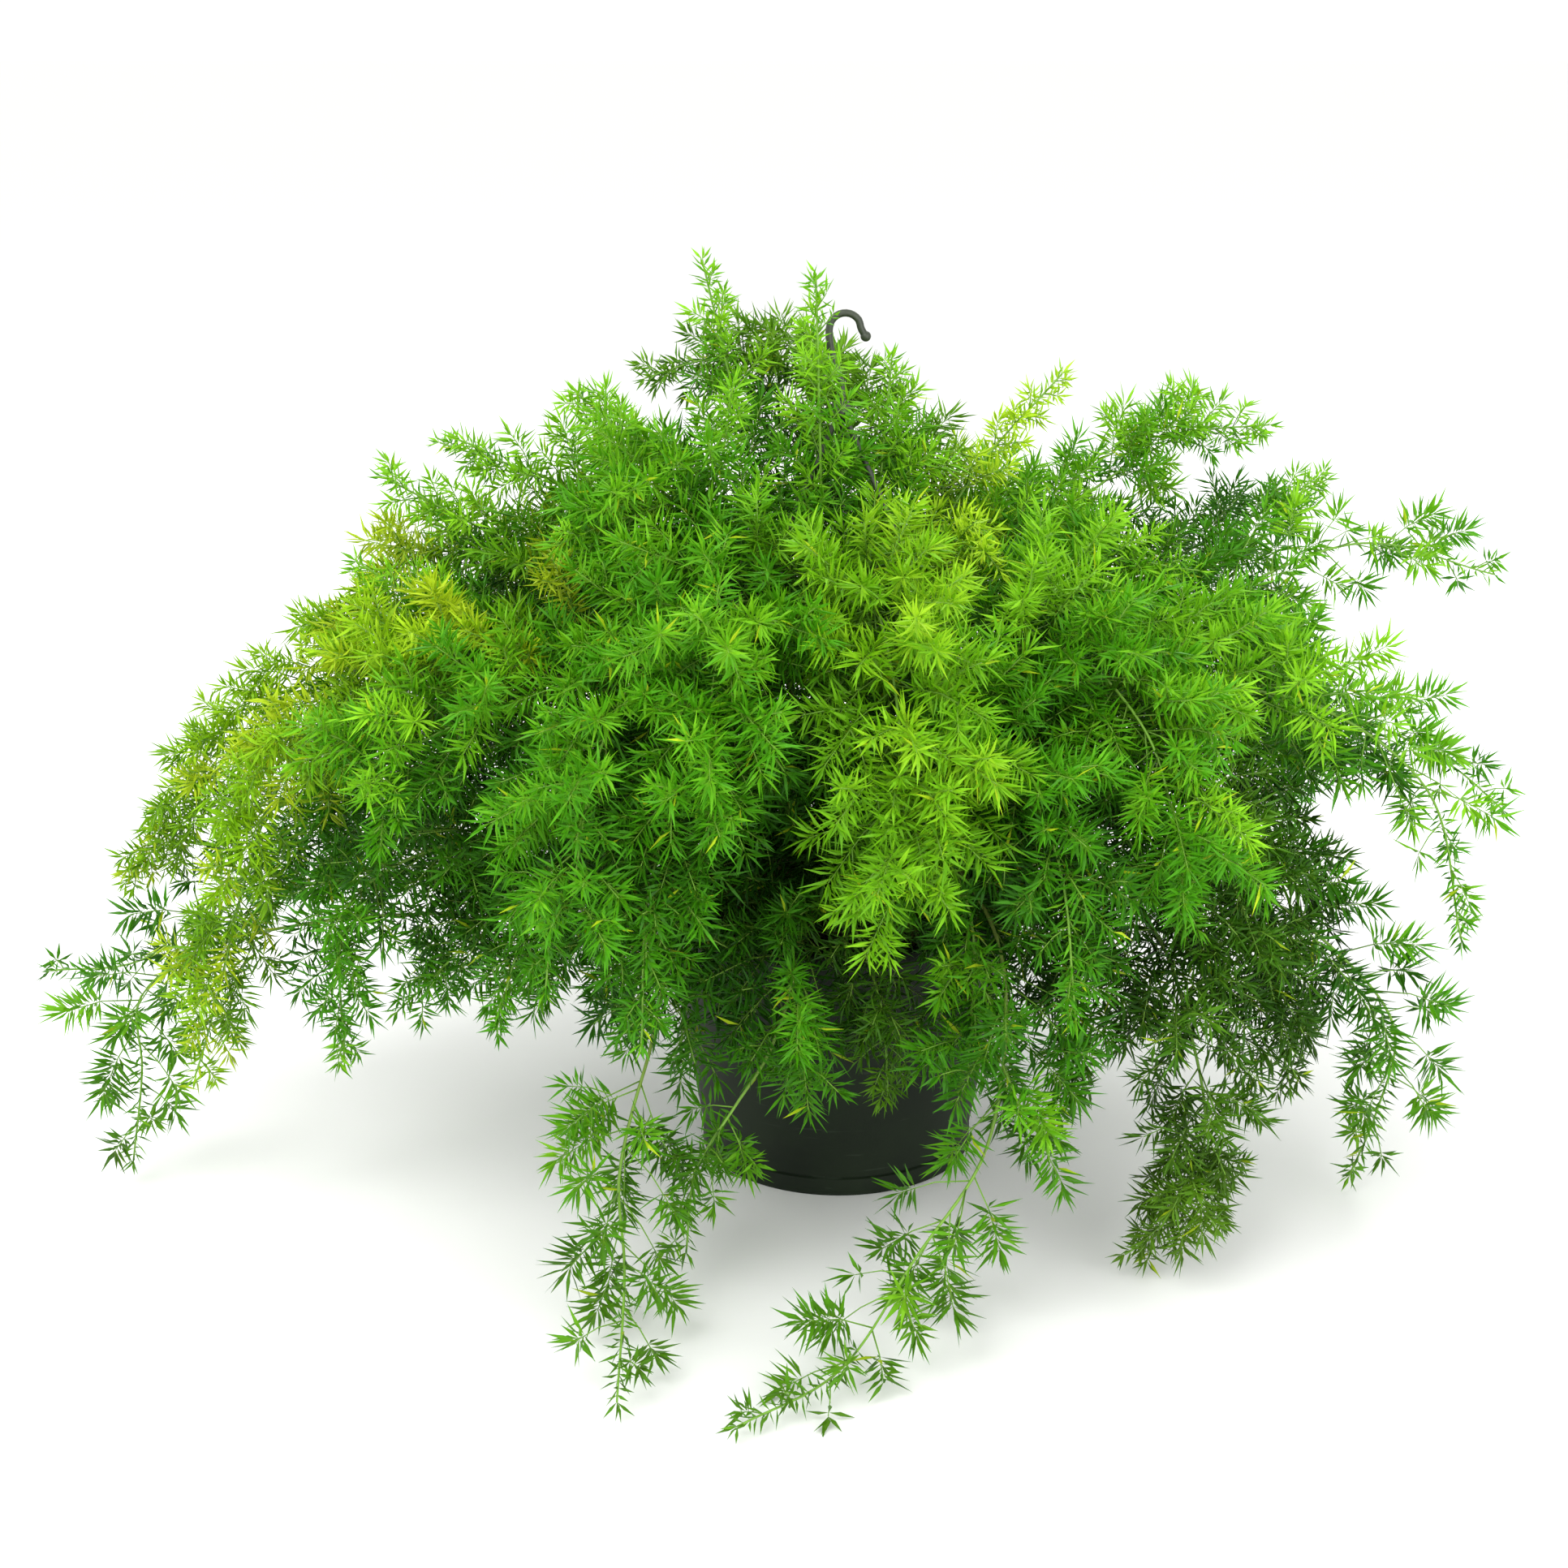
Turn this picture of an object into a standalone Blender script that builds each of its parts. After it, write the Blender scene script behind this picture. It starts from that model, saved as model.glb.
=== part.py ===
"""A sprengeri asparagus fern growing in a black nursery pot that has a plastic hanger.

Sizes and places are in millimetres, and MM turns them into metres. The origin is the middle of
the pot's base, +Z is up, and -Y is the side towards the viewer. Each frond is one solid: a thin
three-sided stem whose faces are drawn out into bare-stalked side shoots, and whose shoots and tip
have a slim core with every face drawn out into a needle.
"""
import math

import bmesh
import bpy
import numpy as np
from mathutils import Matrix, Vector

MM = 0.001
SEED = 7
CLEARANCE = 0.35
NEAR_MARGIN = 4.0

# The pot: a tapered nursery pot with a band at its foot, a fine groove above it and a solid lip.
POT_SIDES = 32
POT_HEIGHT = 165.0
BASE_RADIUS = 80.0
SHOULDER_RADIUS = 107.0
RIM_RADIUS = 115.0
LIP_HEIGHT = 8.0
LIP_EDGE = 1.2
WALL = 1.8
FLOOR = 2.4
BAND_HEIGHT = 11.0
BAND_STAND = 0.7
GROOVE_WIDTH = 1.6
FOOT_EDGE = 1.4
DRAIN_COUNT = 5
DRAIN_RADIUS = 4.5
DRAIN_CIRCLE = 50.0

# The potting mix, which stops 25 mm below the pot's rim.
SOIL_TOP = 140.0

# The hanger: three bowed arms that hook under the lip and meet in a hub with a hook above it.
ARM_AZIMUTHS = (90.0, 210.0, 330.0)
ARM_RADIUS = 1.7
ARM_BOW = 12.0
CLIP_REACH = 5.0
HUB_RADIUS = 6.5
HUB_HEIGHT = 9.0
HUB_BOTTOM = 448.0
HOOK_RADIUS = 9.0
HOOK_CENTRE = (2.0, 0.0, 497.0)
HOOK_THICKNESS = 2.1
KNOB_RADIUS = 3.2
HOOK_SPACE = ((-2.0, -8.0, 486.0), (6.0, 8.0, 502.0))
HOOK_ANGLES = (180, 144, 108, 72, 36, 0)
ARM_GAP = 0.3
ARM_CORNER = 1.6
ARM_RISE = 4.0
ARM_BENDS = (0.33, 0.67)
HUB_TOP_SHARE = 0.7
SHANK_SINK = 2.0
SHANK_RISE = 8.0
SHANK_BEND = (-6.0, 12.0)
HOOK_END = (2.5, -4.0)
HANGER_ROOM = 0.2

# The stems.
STEM_RADIUS = 1.65
STEM_TIP_RADIUS = 0.9
ROOT_DEPTH = 22.0
ROOT_STAND = 4.0
HOLE_EXTRA = 0.8
ROOT_DRAW = 0.7
ROOT_NEAREST = 12.0
ROOT_FURTHEST = 86.0
ROOT_SPACING = 10.0
ROOT_STAGGER = 2.0
PATH_STEP = 5.0
STEM_SPACING = 5.6
BEND_SPREAD = 45.0
STEM_TURN = 30.0
STEM_STRETCH = 90.0
TURN_STEP = 3.0
AXIS_STEP = 2.0
ROOT_RISE = 0.5
TIP_SHARE = 0.7
CROWN_RISE = 30.0
GOLDEN_ANGLE = 137.5
SPREAD_ROUNDS = 300
BEND_ROUNDS = 120
BEND_EXTRA = 0.4
BEND_LEAST = 0.2
STIFF_FOOT = 30.0
LIP_ROOM = 2.0

# The side shoots and their needles.
SHOOT_PITCH = 126.0
SHOOTS_LEAST = 3
SHOOTS_MOST = 6
FIRST_SHOOT = 0.40
LAST_SHOOT = 26.0
STALK_SHORTENING = 0.6
NODE_LENGTH = 2.6
STALK_RADIUS = 0.85
STALK_LENGTHS = (30.0, 22.0, 38.0)
CORE_RADIUS = 0.95
BAND_LENGTH = 4.2
TIP_BAND_LENGTH = 5.5
NEEDLE_LENGTH = 19.0
TIP_NEEDLE_LENGTH = 15.0
NEEDLE_RADIUS = 1.6
NEEDLE_POINT = 0.06
NEEDLE_SHARES = (1.0, 0.8, 0.62, 0.45)
NEEDLE_RANGE = (0.9, 1.05)
NEEDLE_FOOT = 1.2
END_NEEDLE = 0.85
LEAN_VARIES = 3.0
SPREAD_VARIES = 5.0
SHOOT_LEANS = (84.0, 74.0, 63.0, 48.0)
TIP_LEANS = (70.0, 60.0, 50.0, 38.0)
NODE_LEANS = (74.0, 60.0)
NODE_NEEDLE_LENGTH = 16.0
NEEDLE_SPREAD = 28.0
FOOT_LENGTH = 5.0
SHOOT_LEAN_RANGE = (46.0, 66.0)
SHOOT_TURN = 28.0
NODE_VARIES = 8.0
LEAST_SCORE = 3.0
OUTWARD_WORTH = 2.0
SAME_SIDE_COST = 3.0
SHOOT_GIRTH = np.array([1.5, CORE_RADIUS + 0.15, CORE_RADIUS + 0.15])

# Each frond's colour, and the places that its stem passes on its way from the soil to its tip.
FRONDS = {
    "crest_left": ("green", [(-15, 20, 280), (-55, 50, 425), (-80, 60, 530)]),
    "crest_middle": ("green", [(-10, -10, 315), (-12, -22, 430), (-15, -25, 530)]),
    "crest_arch": ("deep", [(25, 60, 375), (0, 75, 435), (-35, 80, 465), (-75, 80, 470),
                            (-115, 70, 460)]),
    "crest_right": ("green", [(20, 10, 350), (25, 30, 420), (30, 40, 475)]),
    "lime_spire": ("lime", [(40, 40, 320), (80, 70, 400), (135, 90, 460)]),
    "high_right": ("green", [(75, 90, 310), (160, 150, 375), (225, 170, 410), (280, 180, 415)]),
    "long_right": ("green", [(100, 50, 260), (230, 100, 315), (330, 120, 350), (415, 120, 330)]),
    "spire_right": ("green", [(100, 120, 250), (225, 190, 325), (330, 230, 370)]),
    "arch_right": ("green", [(110, 0, 265), (215, 0, 290), (310, -10, 270), (360, -15, 245),
                             (390, -20, 220)]),
    "hang_right": ("green", [(100, -50, 265), (235, -70, 305), (325, -80, 255), (355, -80, 160)]),
    "low_right": ("green", [(95, -40, 225), (210, -80, 205), (280, -95, 160), (315, -100, 115),
                            (310, -95, 60), (300, -85, 15)]),
    "dark_right": ("deep", [(70, -70, 215), (160, -130, 200), (190, -165, 130), (195, -180, 80),
                            (180, -180, 35), (155, -180, 15)]),
    "drop_right": ("deep", [(60, -90, 220), (120, -150, 205), (125, -160, 105)]),
    "fall_right": ("deep", [(85, -60, 240), (175, -115, 260), (225, -135, 185), (250, -135, 95)]),
    "trail_front": ("green", [(35, -110, 240), (80, -180, 200), (75, -215, 100), (35, -250, 50),
                              (-5, -300, 15), (-55, -340, 9)]),
    "bright_front": ("green", [(10, -70, 255), (40, -140, 260), (65, -185, 215), (65, -195, 125)]),
    "drape_middle": ("deep", [(-5, -85, 200), (5, -140, 195), (20, -160, 155), (25, -150, 95)]),
    "drape_left": ("green", [(-30, -90, 195), (-25, -150, 180), (-40, -165, 130), (-60, -175, 100),
                             (-80, -190, 70), (-85, -205, 30)]),
    "trail_left": ("green", [(-60, -80, 195), (-95, -130, 165), (-105, -165, 130), (-115, -190, 100),
                             (-120, -210, 75), (-115, -250, 45), (-115, -320, 10)]),
    "hang_front_left": ("green", [(-85, -70, 210), (-155, -130, 225), (-190, -150, 140)]),
    "low_left": ("green", [(-75, -20, 185), (-185, -50, 170), (-300, -60, 165), (-375, -60, 145),
                           (-410, -60, 115), (-410, -65, 75), (-420, -65, 15)]),
    "reach_left": ("green", [(-80, 0, 200), (-250, 10, 205), (-365, 10, 165), (-425, 5, 115),
                             (-480, 0, 110)]),
    "yellow_left": ("lime", [(-80, -30, 255), (-195, -70, 320), (-290, -100, 290),
                             (-370, -100, 85)]),
    "slope_left": ("lime", [(-70, 20, 270), (-200, 40, 355), (-320, 40, 285), (-435, 20, 160)]),
    "spray_left_high": ("green", [(-45, 40, 290), (-155, 70, 390), (-240, 80, 420)]),
    "spray_left_middle": ("green", [(-65, 10, 285), (-185, 20, 365), (-265, 20, 410)]),
    "spray_left_near": ("green", [(-35, 0, 310), (-110, 10, 420), (-150, 10, 460)]),
    "spray_left_low": ("green", [(-80, -20, 270), (-200, -40, 325), (-270, -50, 375)]),
    "lime_left": ("green", [(-75, -70, 250), (-175, -120, 310), (-255, -160, 285)]),
    "under_left_far": ("green", [(-85, -50, 205), (-190, -90, 230), (-270, -120, 200),
                                (-280, -120, 105)]),
    "under_left_near": ("green", [(-75, -60, 195), (-160, -110, 210), (-250, -110, 130)]),
    "dome_left_high": ("green", [(-30, 0, 290), (-75, -20, 400), (-120, -80, 405)]),
    "dome_left_middle": ("green", [(-30, -50, 235), (-95, -110, 335), (-125, -190, 310),
                                   (-140, -235, 235)]),
    "dome_left_low": ("green", [(-45, -80, 215), (-120, -150, 265), (-150, -205, 225),
                               (-155, -215, 185)]),
    "dome_front_left": ("green", [(-25, -70, 225), (-75, -150, 290), (-100, -215, 245),
                                  (-105, -235, 165)]),
    "dome_front_high": ("green", [(-15, -30, 245), (-50, -90, 360), (-65, -165, 355),
                                  (-75, -225, 290)]),
    "dome_front": ("lime", [(5, -50, 250), (15, -105, 360), (25, -190, 330), (30, -240, 250)]),
    "dome_front_right": ("green", [(25, -70, 230), (75, -150, 300), (105, -215, 260),
                                   (115, -240, 180)]),
    "dome_right_high": ("lime", [(20, 0, 295), (50, -20, 380), (80, -80, 385)]),
    "dome_right_middle": ("green", [(30, -40, 235), (105, -80, 335), (155, -155, 310),
                                    (175, -205, 235)]),
    "dome_right_far": ("green", [(40, 40, 260), (145, 60, 350), (215, 40, 350)]),
    "under_right": ("deep", [(80, -30, 215), (170, -60, 250), (250, -70, 195), (270, -70, 90)]),
    "fill_left": ("green", [(-80, 10, 235), (-185, 10, 270), (-280, 0, 235), (-360, -10, 140)]),
    "fringe_left": ("green", [(-50, -75, 190), (-80, -115, 190), (-90, -140, 115)]),
    "fringe_right": ("green", [(45, -80, 190), (80, -120, 195), (95, -145, 130)]),
}

# The fronds that the viewer can't see: three tiers that arch back and fall, as the front ones do.
BACK_TIERS = (
    ("back_long", "green", (20, 47, 74, 101, 129, 157), ((90, 262), (230, 305), (320, 250), (355, 150))),
    ("back_dome", "green", (33, 88, 143), ((55, 285), (150, 375), (235, 345))),
    ("back_drape", "deep", (50, 92, 128), ((80, 200), (150, 215), (185, 150), (180, 70))),
)
BACK_VARIATION = (1.0, 0.88, 1.06, 0.93, 1.03, 0.9)

COLOURS = {
    "lime": (0.235, 0.480, 0.014),
    "green": (0.075, 0.330, 0.012),
    "deep": (0.022, 0.150, 0.010),
    "soil": (0.030, 0.018, 0.010),
    "pot": (0.013, 0.020, 0.016),
    "hanger": (0.020, 0.030, 0.018),
}


def clear_scene():
    for thing in list(bpy.context.scene.objects):
        bpy.data.objects.remove(thing, do_unlink=True)


def make_collection(name):
    collection = bpy.data.collections.new(name)
    bpy.context.scene.collection.children.link(collection)
    return collection


def make_material(name, colour, roughness):
    material = bpy.data.materials.new(name)
    material.use_nodes = True
    shader = material.node_tree.nodes["Principled BSDF"]
    shader.inputs["Base Color"].default_value = (*colour, 1.0)
    shader.inputs["Roughness"].default_value = roughness
    shader.inputs["Metallic"].default_value = 0.0
    material.diffuse_color = (*colour, 1.0)
    return material


def mesh_object(name, bm, collection):
    mesh = bpy.data.meshes.new(name)
    bm.to_mesh(mesh)
    bm.free()
    thing = bpy.data.objects.new(name, mesh)
    collection.objects.link(thing)
    return thing


def make_cutter(name, bm, collection):
    cutter = mesh_object(name, bm, collection)
    cutter.hide_render = True
    cutter.display_type = "WIRE"
    return cutter


def add_boolean(thing, operation, other):
    modifier = thing.modifiers.new(operation.lower(), "BOOLEAN")
    modifier.operation = operation
    modifier.solver = "EXACT"
    modifier.object = other


def unit(vector):
    vector = np.asarray(vector, float)
    return vector / np.linalg.norm(vector)


def across(vector, axis):
    """The part of a vector that is square to a unit axis, at length 1."""
    return unit(vector - np.dot(vector, axis) * axis)


def turned(vector, axis, degrees):
    """A vector square to a unit axis, turned about it."""
    angle = math.radians(degrees)
    return math.cos(angle) * vector + math.sin(angle) * np.cross(axis, vector)


def polar(azimuth, radius, height):
    angle = math.radians(azimuth)
    return (radius * math.cos(angle), radius * math.sin(angle), height)


def smooth_curve(before, points, step):
    """A centripetal Catmull-Rom curve through the points, coming from before, read every step."""
    points = np.asarray(points, float)
    full = np.vstack([before, points, 2 * points[-1] - points[-2]])
    knots = np.concatenate([[0.0], np.cumsum(np.linalg.norm(np.diff(full, axis=0), axis=1) ** 0.5)])
    pieces = []
    for i in range(1, len(full) - 2):
        p0, p1, p2, p3 = full[i - 1:i + 3]
        t0, t1, t2, t3 = knots[i - 1:i + 3]
        t = np.linspace(t1, t2, 40)[:, None]
        a1 = ((t1 - t) * p0 + (t - t0) * p1) / (t1 - t0)
        a2 = ((t2 - t) * p1 + (t - t1) * p2) / (t2 - t1)
        a3 = ((t3 - t) * p2 + (t - t2) * p3) / (t3 - t2)
        b1 = ((t2 - t) * a1 + (t - t0) * a2) / (t2 - t0)
        b2 = ((t3 - t) * a2 + (t - t1) * a3) / (t3 - t1)
        pieces.append(((t2 - t) * b1 + (t - t1) * b2) / (t2 - t1))
    return read_every(np.vstack(pieces), step)


def lengths_along(path):
    return np.concatenate([[0.0], np.cumsum(np.linalg.norm(np.diff(path, axis=0), axis=1))])


def points_at(path, places):
    along = lengths_along(path)
    return np.stack([np.interp(places, along, path[:, axis]) for axis in range(3)], axis=-1)


def read_every(path, step):
    total = lengths_along(path)[-1]
    return points_at(path, np.linspace(0.0, total, max(2, round(total / step) + 1)))


def wall_radius(height):
    """The pot wall's outer radius at a height."""
    return BASE_RADIUS + (SHOULDER_RADIUS - BASE_RADIUS) * height / (POT_HEIGHT - LIP_HEIGHT)


def pot_room(points):
    """How far points are from the pot, the soil and the floor: below 0 is inside one of them."""
    radius = np.hypot(points[..., 0], points[..., 1])
    height = points[..., 2]
    inner = (wall_radius(height) - WALL) * math.cos(math.pi / POT_SIDES)
    at_lip = height > POT_HEIGHT - LIP_HEIGHT - LIP_ROOM
    outer = np.where(at_lip, RIM_RADIUS, wall_radius(height) + BAND_STAND)
    outside = radius - outer
    inside = np.minimum(inner - radius, height - SOIL_TOP)
    above = height - np.where(radius < inner, SOIL_TOP, POT_HEIGHT)
    return np.minimum(np.maximum(np.maximum(outside, inside), above), height)


def hook_room(points):
    """How far points are from the space in the hook, which stays free."""
    low, high = (np.array(corner) for corner in HOOK_SPACE)
    beyond = np.maximum(np.maximum(low - points, points - high), 0.0)
    return np.linalg.norm(beyond, axis=-1)


class Crowd:
    """The tapered rods placed so far, and how much room new ones have beside them."""

    def __init__(self):
        self.start = np.zeros((0, 3))
        self.end = np.zeros((0, 3))
        self.thick = np.zeros(0)
        self.thin = np.zeros(0)
        self.owner = np.zeros(0, int)

    def add(self, start, end, thick, thin, owner=-1):
        self.start = np.vstack([self.start, start])
        self.end = np.vstack([self.end, end])
        self.thick = np.append(self.thick, thick)
        self.thin = np.append(self.thin, thin)
        self.owner = np.append(self.owner, np.full(len(start), owner))

    def room(self, start, end, thick, thin, skip=-2):
        """The least gap from each new rod to the pot, the floor, the hook and the placed rods.

        The rods of the owner to skip, which is the stem that a new rod grows from, don't count.
        """
        share = np.linspace(0.0, 1.0, 7)[:, None, None]
        along = start + share * (end - start)
        girth = thick + share[..., 0] * (thin - thick)
        gap = np.minimum(pot_room(along) - girth, hook_room(along) - girth).min(axis=0)
        middle = (start + end).mean(axis=0) / 2
        reach = np.linalg.norm(np.vstack([start, end]) - middle, axis=1).max() + NEAR_MARGIN
        half = np.linalg.norm(self.end - self.start, axis=1) / 2
        near = np.linalg.norm((self.start + self.end) / 2 - middle, axis=1) < reach + half
        near &= self.owner != skip
        if not near.any():
            return gap
        away = rod_gaps(start, end, thick, thin, self.start[near], self.end[near],
                        self.thick[near], self.thin[near])
        return np.minimum(gap, away.min(axis=1))


def rod_gaps(a_start, a_end, a_thick, a_thin, b_start, b_end, b_thick, b_thin):
    """The gap between each rod of one list and each rod of another."""
    run_a = (a_end - a_start)[:, None]
    run_b = (b_end - b_start)[None]
    between = a_start[:, None] - b_start[None]
    aa = (run_a * run_a).sum(-1)
    bb = (run_b * run_b).sum(-1)
    ab = (run_a * run_b).sum(-1)
    a_between = (run_a * between).sum(-1)
    b_between = (run_b * between).sum(-1)
    at_a = np.clip((ab * b_between - a_between * bb) / np.maximum(aa * bb - ab * ab, 1e-9), 0, 1)
    at_b = np.clip((ab * at_a + b_between) / bb, 0, 1)
    at_a = np.clip((ab * at_b - a_between) / aa, 0, 1)
    apart = between + at_a[..., None] * run_a - at_b[..., None] * run_b
    girth_a = a_thick[:, None] + at_a * (a_thin - a_thick)[:, None]
    girth_b = b_thick[None] + at_b * (b_thin - b_thick)[None]
    return np.linalg.norm(apart, axis=-1) - girth_a - girth_b


def frond_table():
    """Every frond's name, colour and places: the seen ones, then the back ones by their rule."""
    table = [(name, colour, points) for name, (colour, points) in FRONDS.items()]
    for tier, colour, azimuths, profile in BACK_TIERS:
        for number, azimuth in enumerate(azimuths):
            vary = BACK_VARIATION[number]
            points = [polar(azimuth + 3 * step, radius * vary, height / vary ** 0.5)
                      for step, (radius, height) in enumerate(profile)]
            table.append((f"{tier}_{number + 1}", colour, points))
    return table


def root_spots(table):
    """Where each stem stands in the soil: under its first place, drawn in, then spread apart."""
    first = np.array([points[0][:2] for _, _, points in table], float)
    radius = np.linalg.norm(first, axis=1, keepdims=True)
    spots = first / radius * np.clip(radius * ROOT_DRAW, ROOT_NEAREST, ROOT_FURTHEST)
    stagger = [polar(GOLDEN_ANGLE * index, 1.0, 0.0)[:2] for index in range(len(spots))]
    spots += ROOT_STAGGER * np.array(stagger)
    for _ in range(SPREAD_ROUNDS):
        apart = spots[:, None] - spots[None]
        distance = np.linalg.norm(apart, axis=-1) + 10 * ROOT_SPACING * np.eye(len(spots))
        push = np.maximum(ROOT_SPACING - distance, 0.0) / 2
        spots = spots + (apart / distance[..., None] * push[..., None]).sum(axis=1)
        radius = np.linalg.norm(spots, axis=1, keepdims=True)
        spots = spots * np.minimum(1.0, ROOT_FURTHEST / radius)
    return spots


def bend_clear(path, others):
    """A stem's path, moved smoothly aside where it comes too near to what is already there."""
    for _ in range(BEND_ROUNDS):
        distance = np.linalg.norm(path[:, None] - others[None], axis=-1)
        distance[0] = STEM_SPACING
        here, there = np.unravel_index(distance.argmin(), distance.shape)
        if distance[here, there] >= STEM_SPACING:
            break
        along = lengths_along(path)
        away = unit(path[here] - others[there])
        weight = np.exp(-((along - along[here]) / BEND_SPREAD) ** 2) * np.minimum(along / STIFF_FOOT, 1.0)
        move = STEM_SPACING - distance[here, there] + BEND_EXTRA
        path = path + (weight * move / max(weight[here], BEND_LEAST))[:, None] * away
    return path


def stem_paths(table, fixed_points):
    """Each stem's path from the soil to its tip, clear of the hanger and of the stems before it."""
    others = fixed_points
    paths = []
    for (_, _, points), (x, y) in zip(table, root_spots(table)):
        mouth = (x, y, SOIL_TOP + ROOT_STAND)
        path = smooth_curve((x, y, SOIL_TOP - ROOT_DEPTH), [mouth, *points], PATH_STEP)
        path = read_every(bend_clear(path, others), PATH_STEP)
        others = np.vstack([others, path])
        paths.append(path)
    return paths


def arm_places(azimuth):
    """The bends of one hanger arm: from under the pot's lip, round it and up to the hub."""
    outside = RIM_RADIUS + ARM_GAP + ARM_RADIUS
    under = POT_HEIGHT - LIP_HEIGHT - ARM_GAP - ARM_RADIUS
    shoulder = POT_HEIGHT + ARM_RISE
    hub = HUB_BOTTOM + HUB_HEIGHT / 2
    places = [
        (outside - CLIP_REACH, under),
        (outside - ARM_CORNER, under),
        (outside, under + ARM_CORNER),
        (outside, shoulder),
    ]
    for share in ARM_BENDS:
        radius = outside * (1 - share) + ARM_BOW * math.sin(math.pi * share)
        places.append((radius, shoulder + share * (hub - shoulder)))
    places.append((0.0, hub))
    return np.array([polar(azimuth, radius, height) for radius, height in places])


def hook_places():
    """The bends of the hook: a shank off the hub, then half a round turn and a short end."""
    centre = np.array(HOOK_CENTRE)
    places = [(0.0, 0.0, HUB_BOTTOM + SHANK_SINK), (0.0, 0.0, HUB_BOTTOM + HUB_HEIGHT + SHANK_RISE),
              (SHANK_BEND[0], 0.0, HOOK_CENTRE[2] - SHANK_BEND[1])]
    for angle in HOOK_ANGLES:
        places.append(centre + HOOK_RADIUS * np.array([math.cos(math.radians(angle)), 0.0,
                                                       math.sin(math.radians(angle))]))
    places.append(centre + (HOOK_RADIUS + HOOK_END[0], 0.0, HOOK_END[1]))
    return np.array(places)


def side_normal(centre, axis, first, second):
    return across((first + second) / 2 - centre, axis)


def ring_round(centre, axis, toward, radius):
    """Three corners round an axis, counterclockwise, the first one toward a direction."""
    return np.array([centre + radius * turned(toward, axis, 120.0 * i) for i in range(3)])


def plan_needles(rings, axes, leans, length, draw):
    """The needles of a core: two for each face, leaning forward more and more to the end."""
    needles = []
    for band in range(len(rings) - 1):
        low, high = rings[band], rings[band + 1]
        axis = axes[band]
        middle = (low.mean(axis=0) + high.mean(axis=0)) / 2
        for side in range(3):
            after = (side + 1) % 3
            normal = side_normal(middle, axis, (low[side] + high[side]) / 2,
                                 (low[after] + high[after]) / 2)
            halves = ((low[side], low[after], high[after]), (low[side], high[after], high[side]))
            for half, corners in enumerate(halves):
                base = np.mean(corners, axis=0)
                lean = math.radians(leans[2 * band + half] + draw.uniform(-LEAN_VARIES, LEAN_VARIES))
                spread = NEEDLE_SPREAD + draw.uniform(-SPREAD_VARIES, SPREAD_VARIES)
                outward = turned(normal, axis, spread * (1 - 2 * half))
                reach = length * draw.uniform(*NEEDLE_RANGE)
                way = math.cos(lean) * axis + math.sin(lean) * outward
                needles.append({"place": (band, side, half), "base": base, "way": way, "reach": reach})
    last = rings[-1].mean(axis=0)
    needles.append({"place": "end", "base": last, "way": axes[-1], "reach": length * END_NEEDLE})
    return needles


def fit_needles(needles, crowd, skip=-2):
    """Shortens each needle until it is clear of its neighbours, and leaves out what never is."""
    base = np.array([needle["base"] for needle in needles])
    way = np.array([needle["way"] for needle in needles])
    reach = np.array([needle["reach"] for needle in needles])
    kept = np.zeros(len(needles))
    for share in NEEDLE_SHARES:
        open_ones = kept == 0
        if not open_ones.any():
            break
        start = (base + NEEDLE_FOOT * way)[open_ones]
        end = (base + (share * reach)[:, None] * way)[open_ones]
        thick = np.full(len(start), NEEDLE_RADIUS)
        room = crowd.room(start, end, thick, thick * NEEDLE_POINT, skip)
        kept[np.flatnonzero(open_ones)[room > CLEARANCE]] = share
    fitted = {}
    for needle, share in zip(needles, kept):
        if share > 0:
            tip = needle["base"] + share * needle["reach"] * needle["way"]
            fitted[needle["place"]] = (needle["base"], tip)
    return fitted, float(kept.sum())


def add_needles(crowd, fitted):
    if fitted:
        base = np.array([spot[0] for spot in fitted.values()])
        tip = np.array([spot[1] for spot in fitted.values()])
        thick = np.full(len(base), NEEDLE_RADIUS)
        crowd.add(base, tip, thick, thick * NEEDLE_POINT)


def plan_stem(path, draw):
    """A stem's rings: a close pair at each side shoot, more where it turns, a core at its tip."""
    total = lengths_along(path)[-1] - TIP_SHARE * TIP_NEEDLE_LENGTH
    core_start = total - TIP_BAND_LENGTH * len(TIP_LEANS) / 2
    count = int(np.clip(round(total / SHOOT_PITCH), SHOOTS_LEAST, SHOOTS_MOST))
    spread = np.linspace(FIRST_SHOOT * total, core_start - LAST_SHOOT, count)
    nodes = spread + draw.uniform(-NODE_VARIES, NODE_VARIES, count) * (np.arange(count) < count - 1)
    fixed = [0.0]
    for node in nodes:
        fixed += [node - NODE_LENGTH / 2, node + NODE_LENGTH / 2]
    fixed.append(core_start)
    places = [0.0]
    for low, high in zip(fixed[:-1], fixed[1:]):
        ends = points_at(path, [low, low + TURN_STEP, high - TURN_STEP, high])
        turn = math.degrees(math.acos(np.clip(np.dot(unit(ends[1] - ends[0]),
                                                     unit(ends[3] - ends[2])), -1, 1)))
        steps = 1
        if high - low > 2 * NODE_LENGTH:
            steps = max(1, round(turn / STEM_TURN), math.ceil((high - low) / STEM_STRETCH))
        places += list(np.linspace(low, high, steps + 1)[1:])
    places += [core_start + TIP_BAND_LENGTH * step for step in range(1, len(TIP_LEANS) // 2 + 1)]
    node_bands = [places.index(node - NODE_LENGTH / 2) for node in nodes]
    shares = {band: node / total for band, node in zip(node_bands, nodes)}
    return np.array(places), shares


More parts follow.
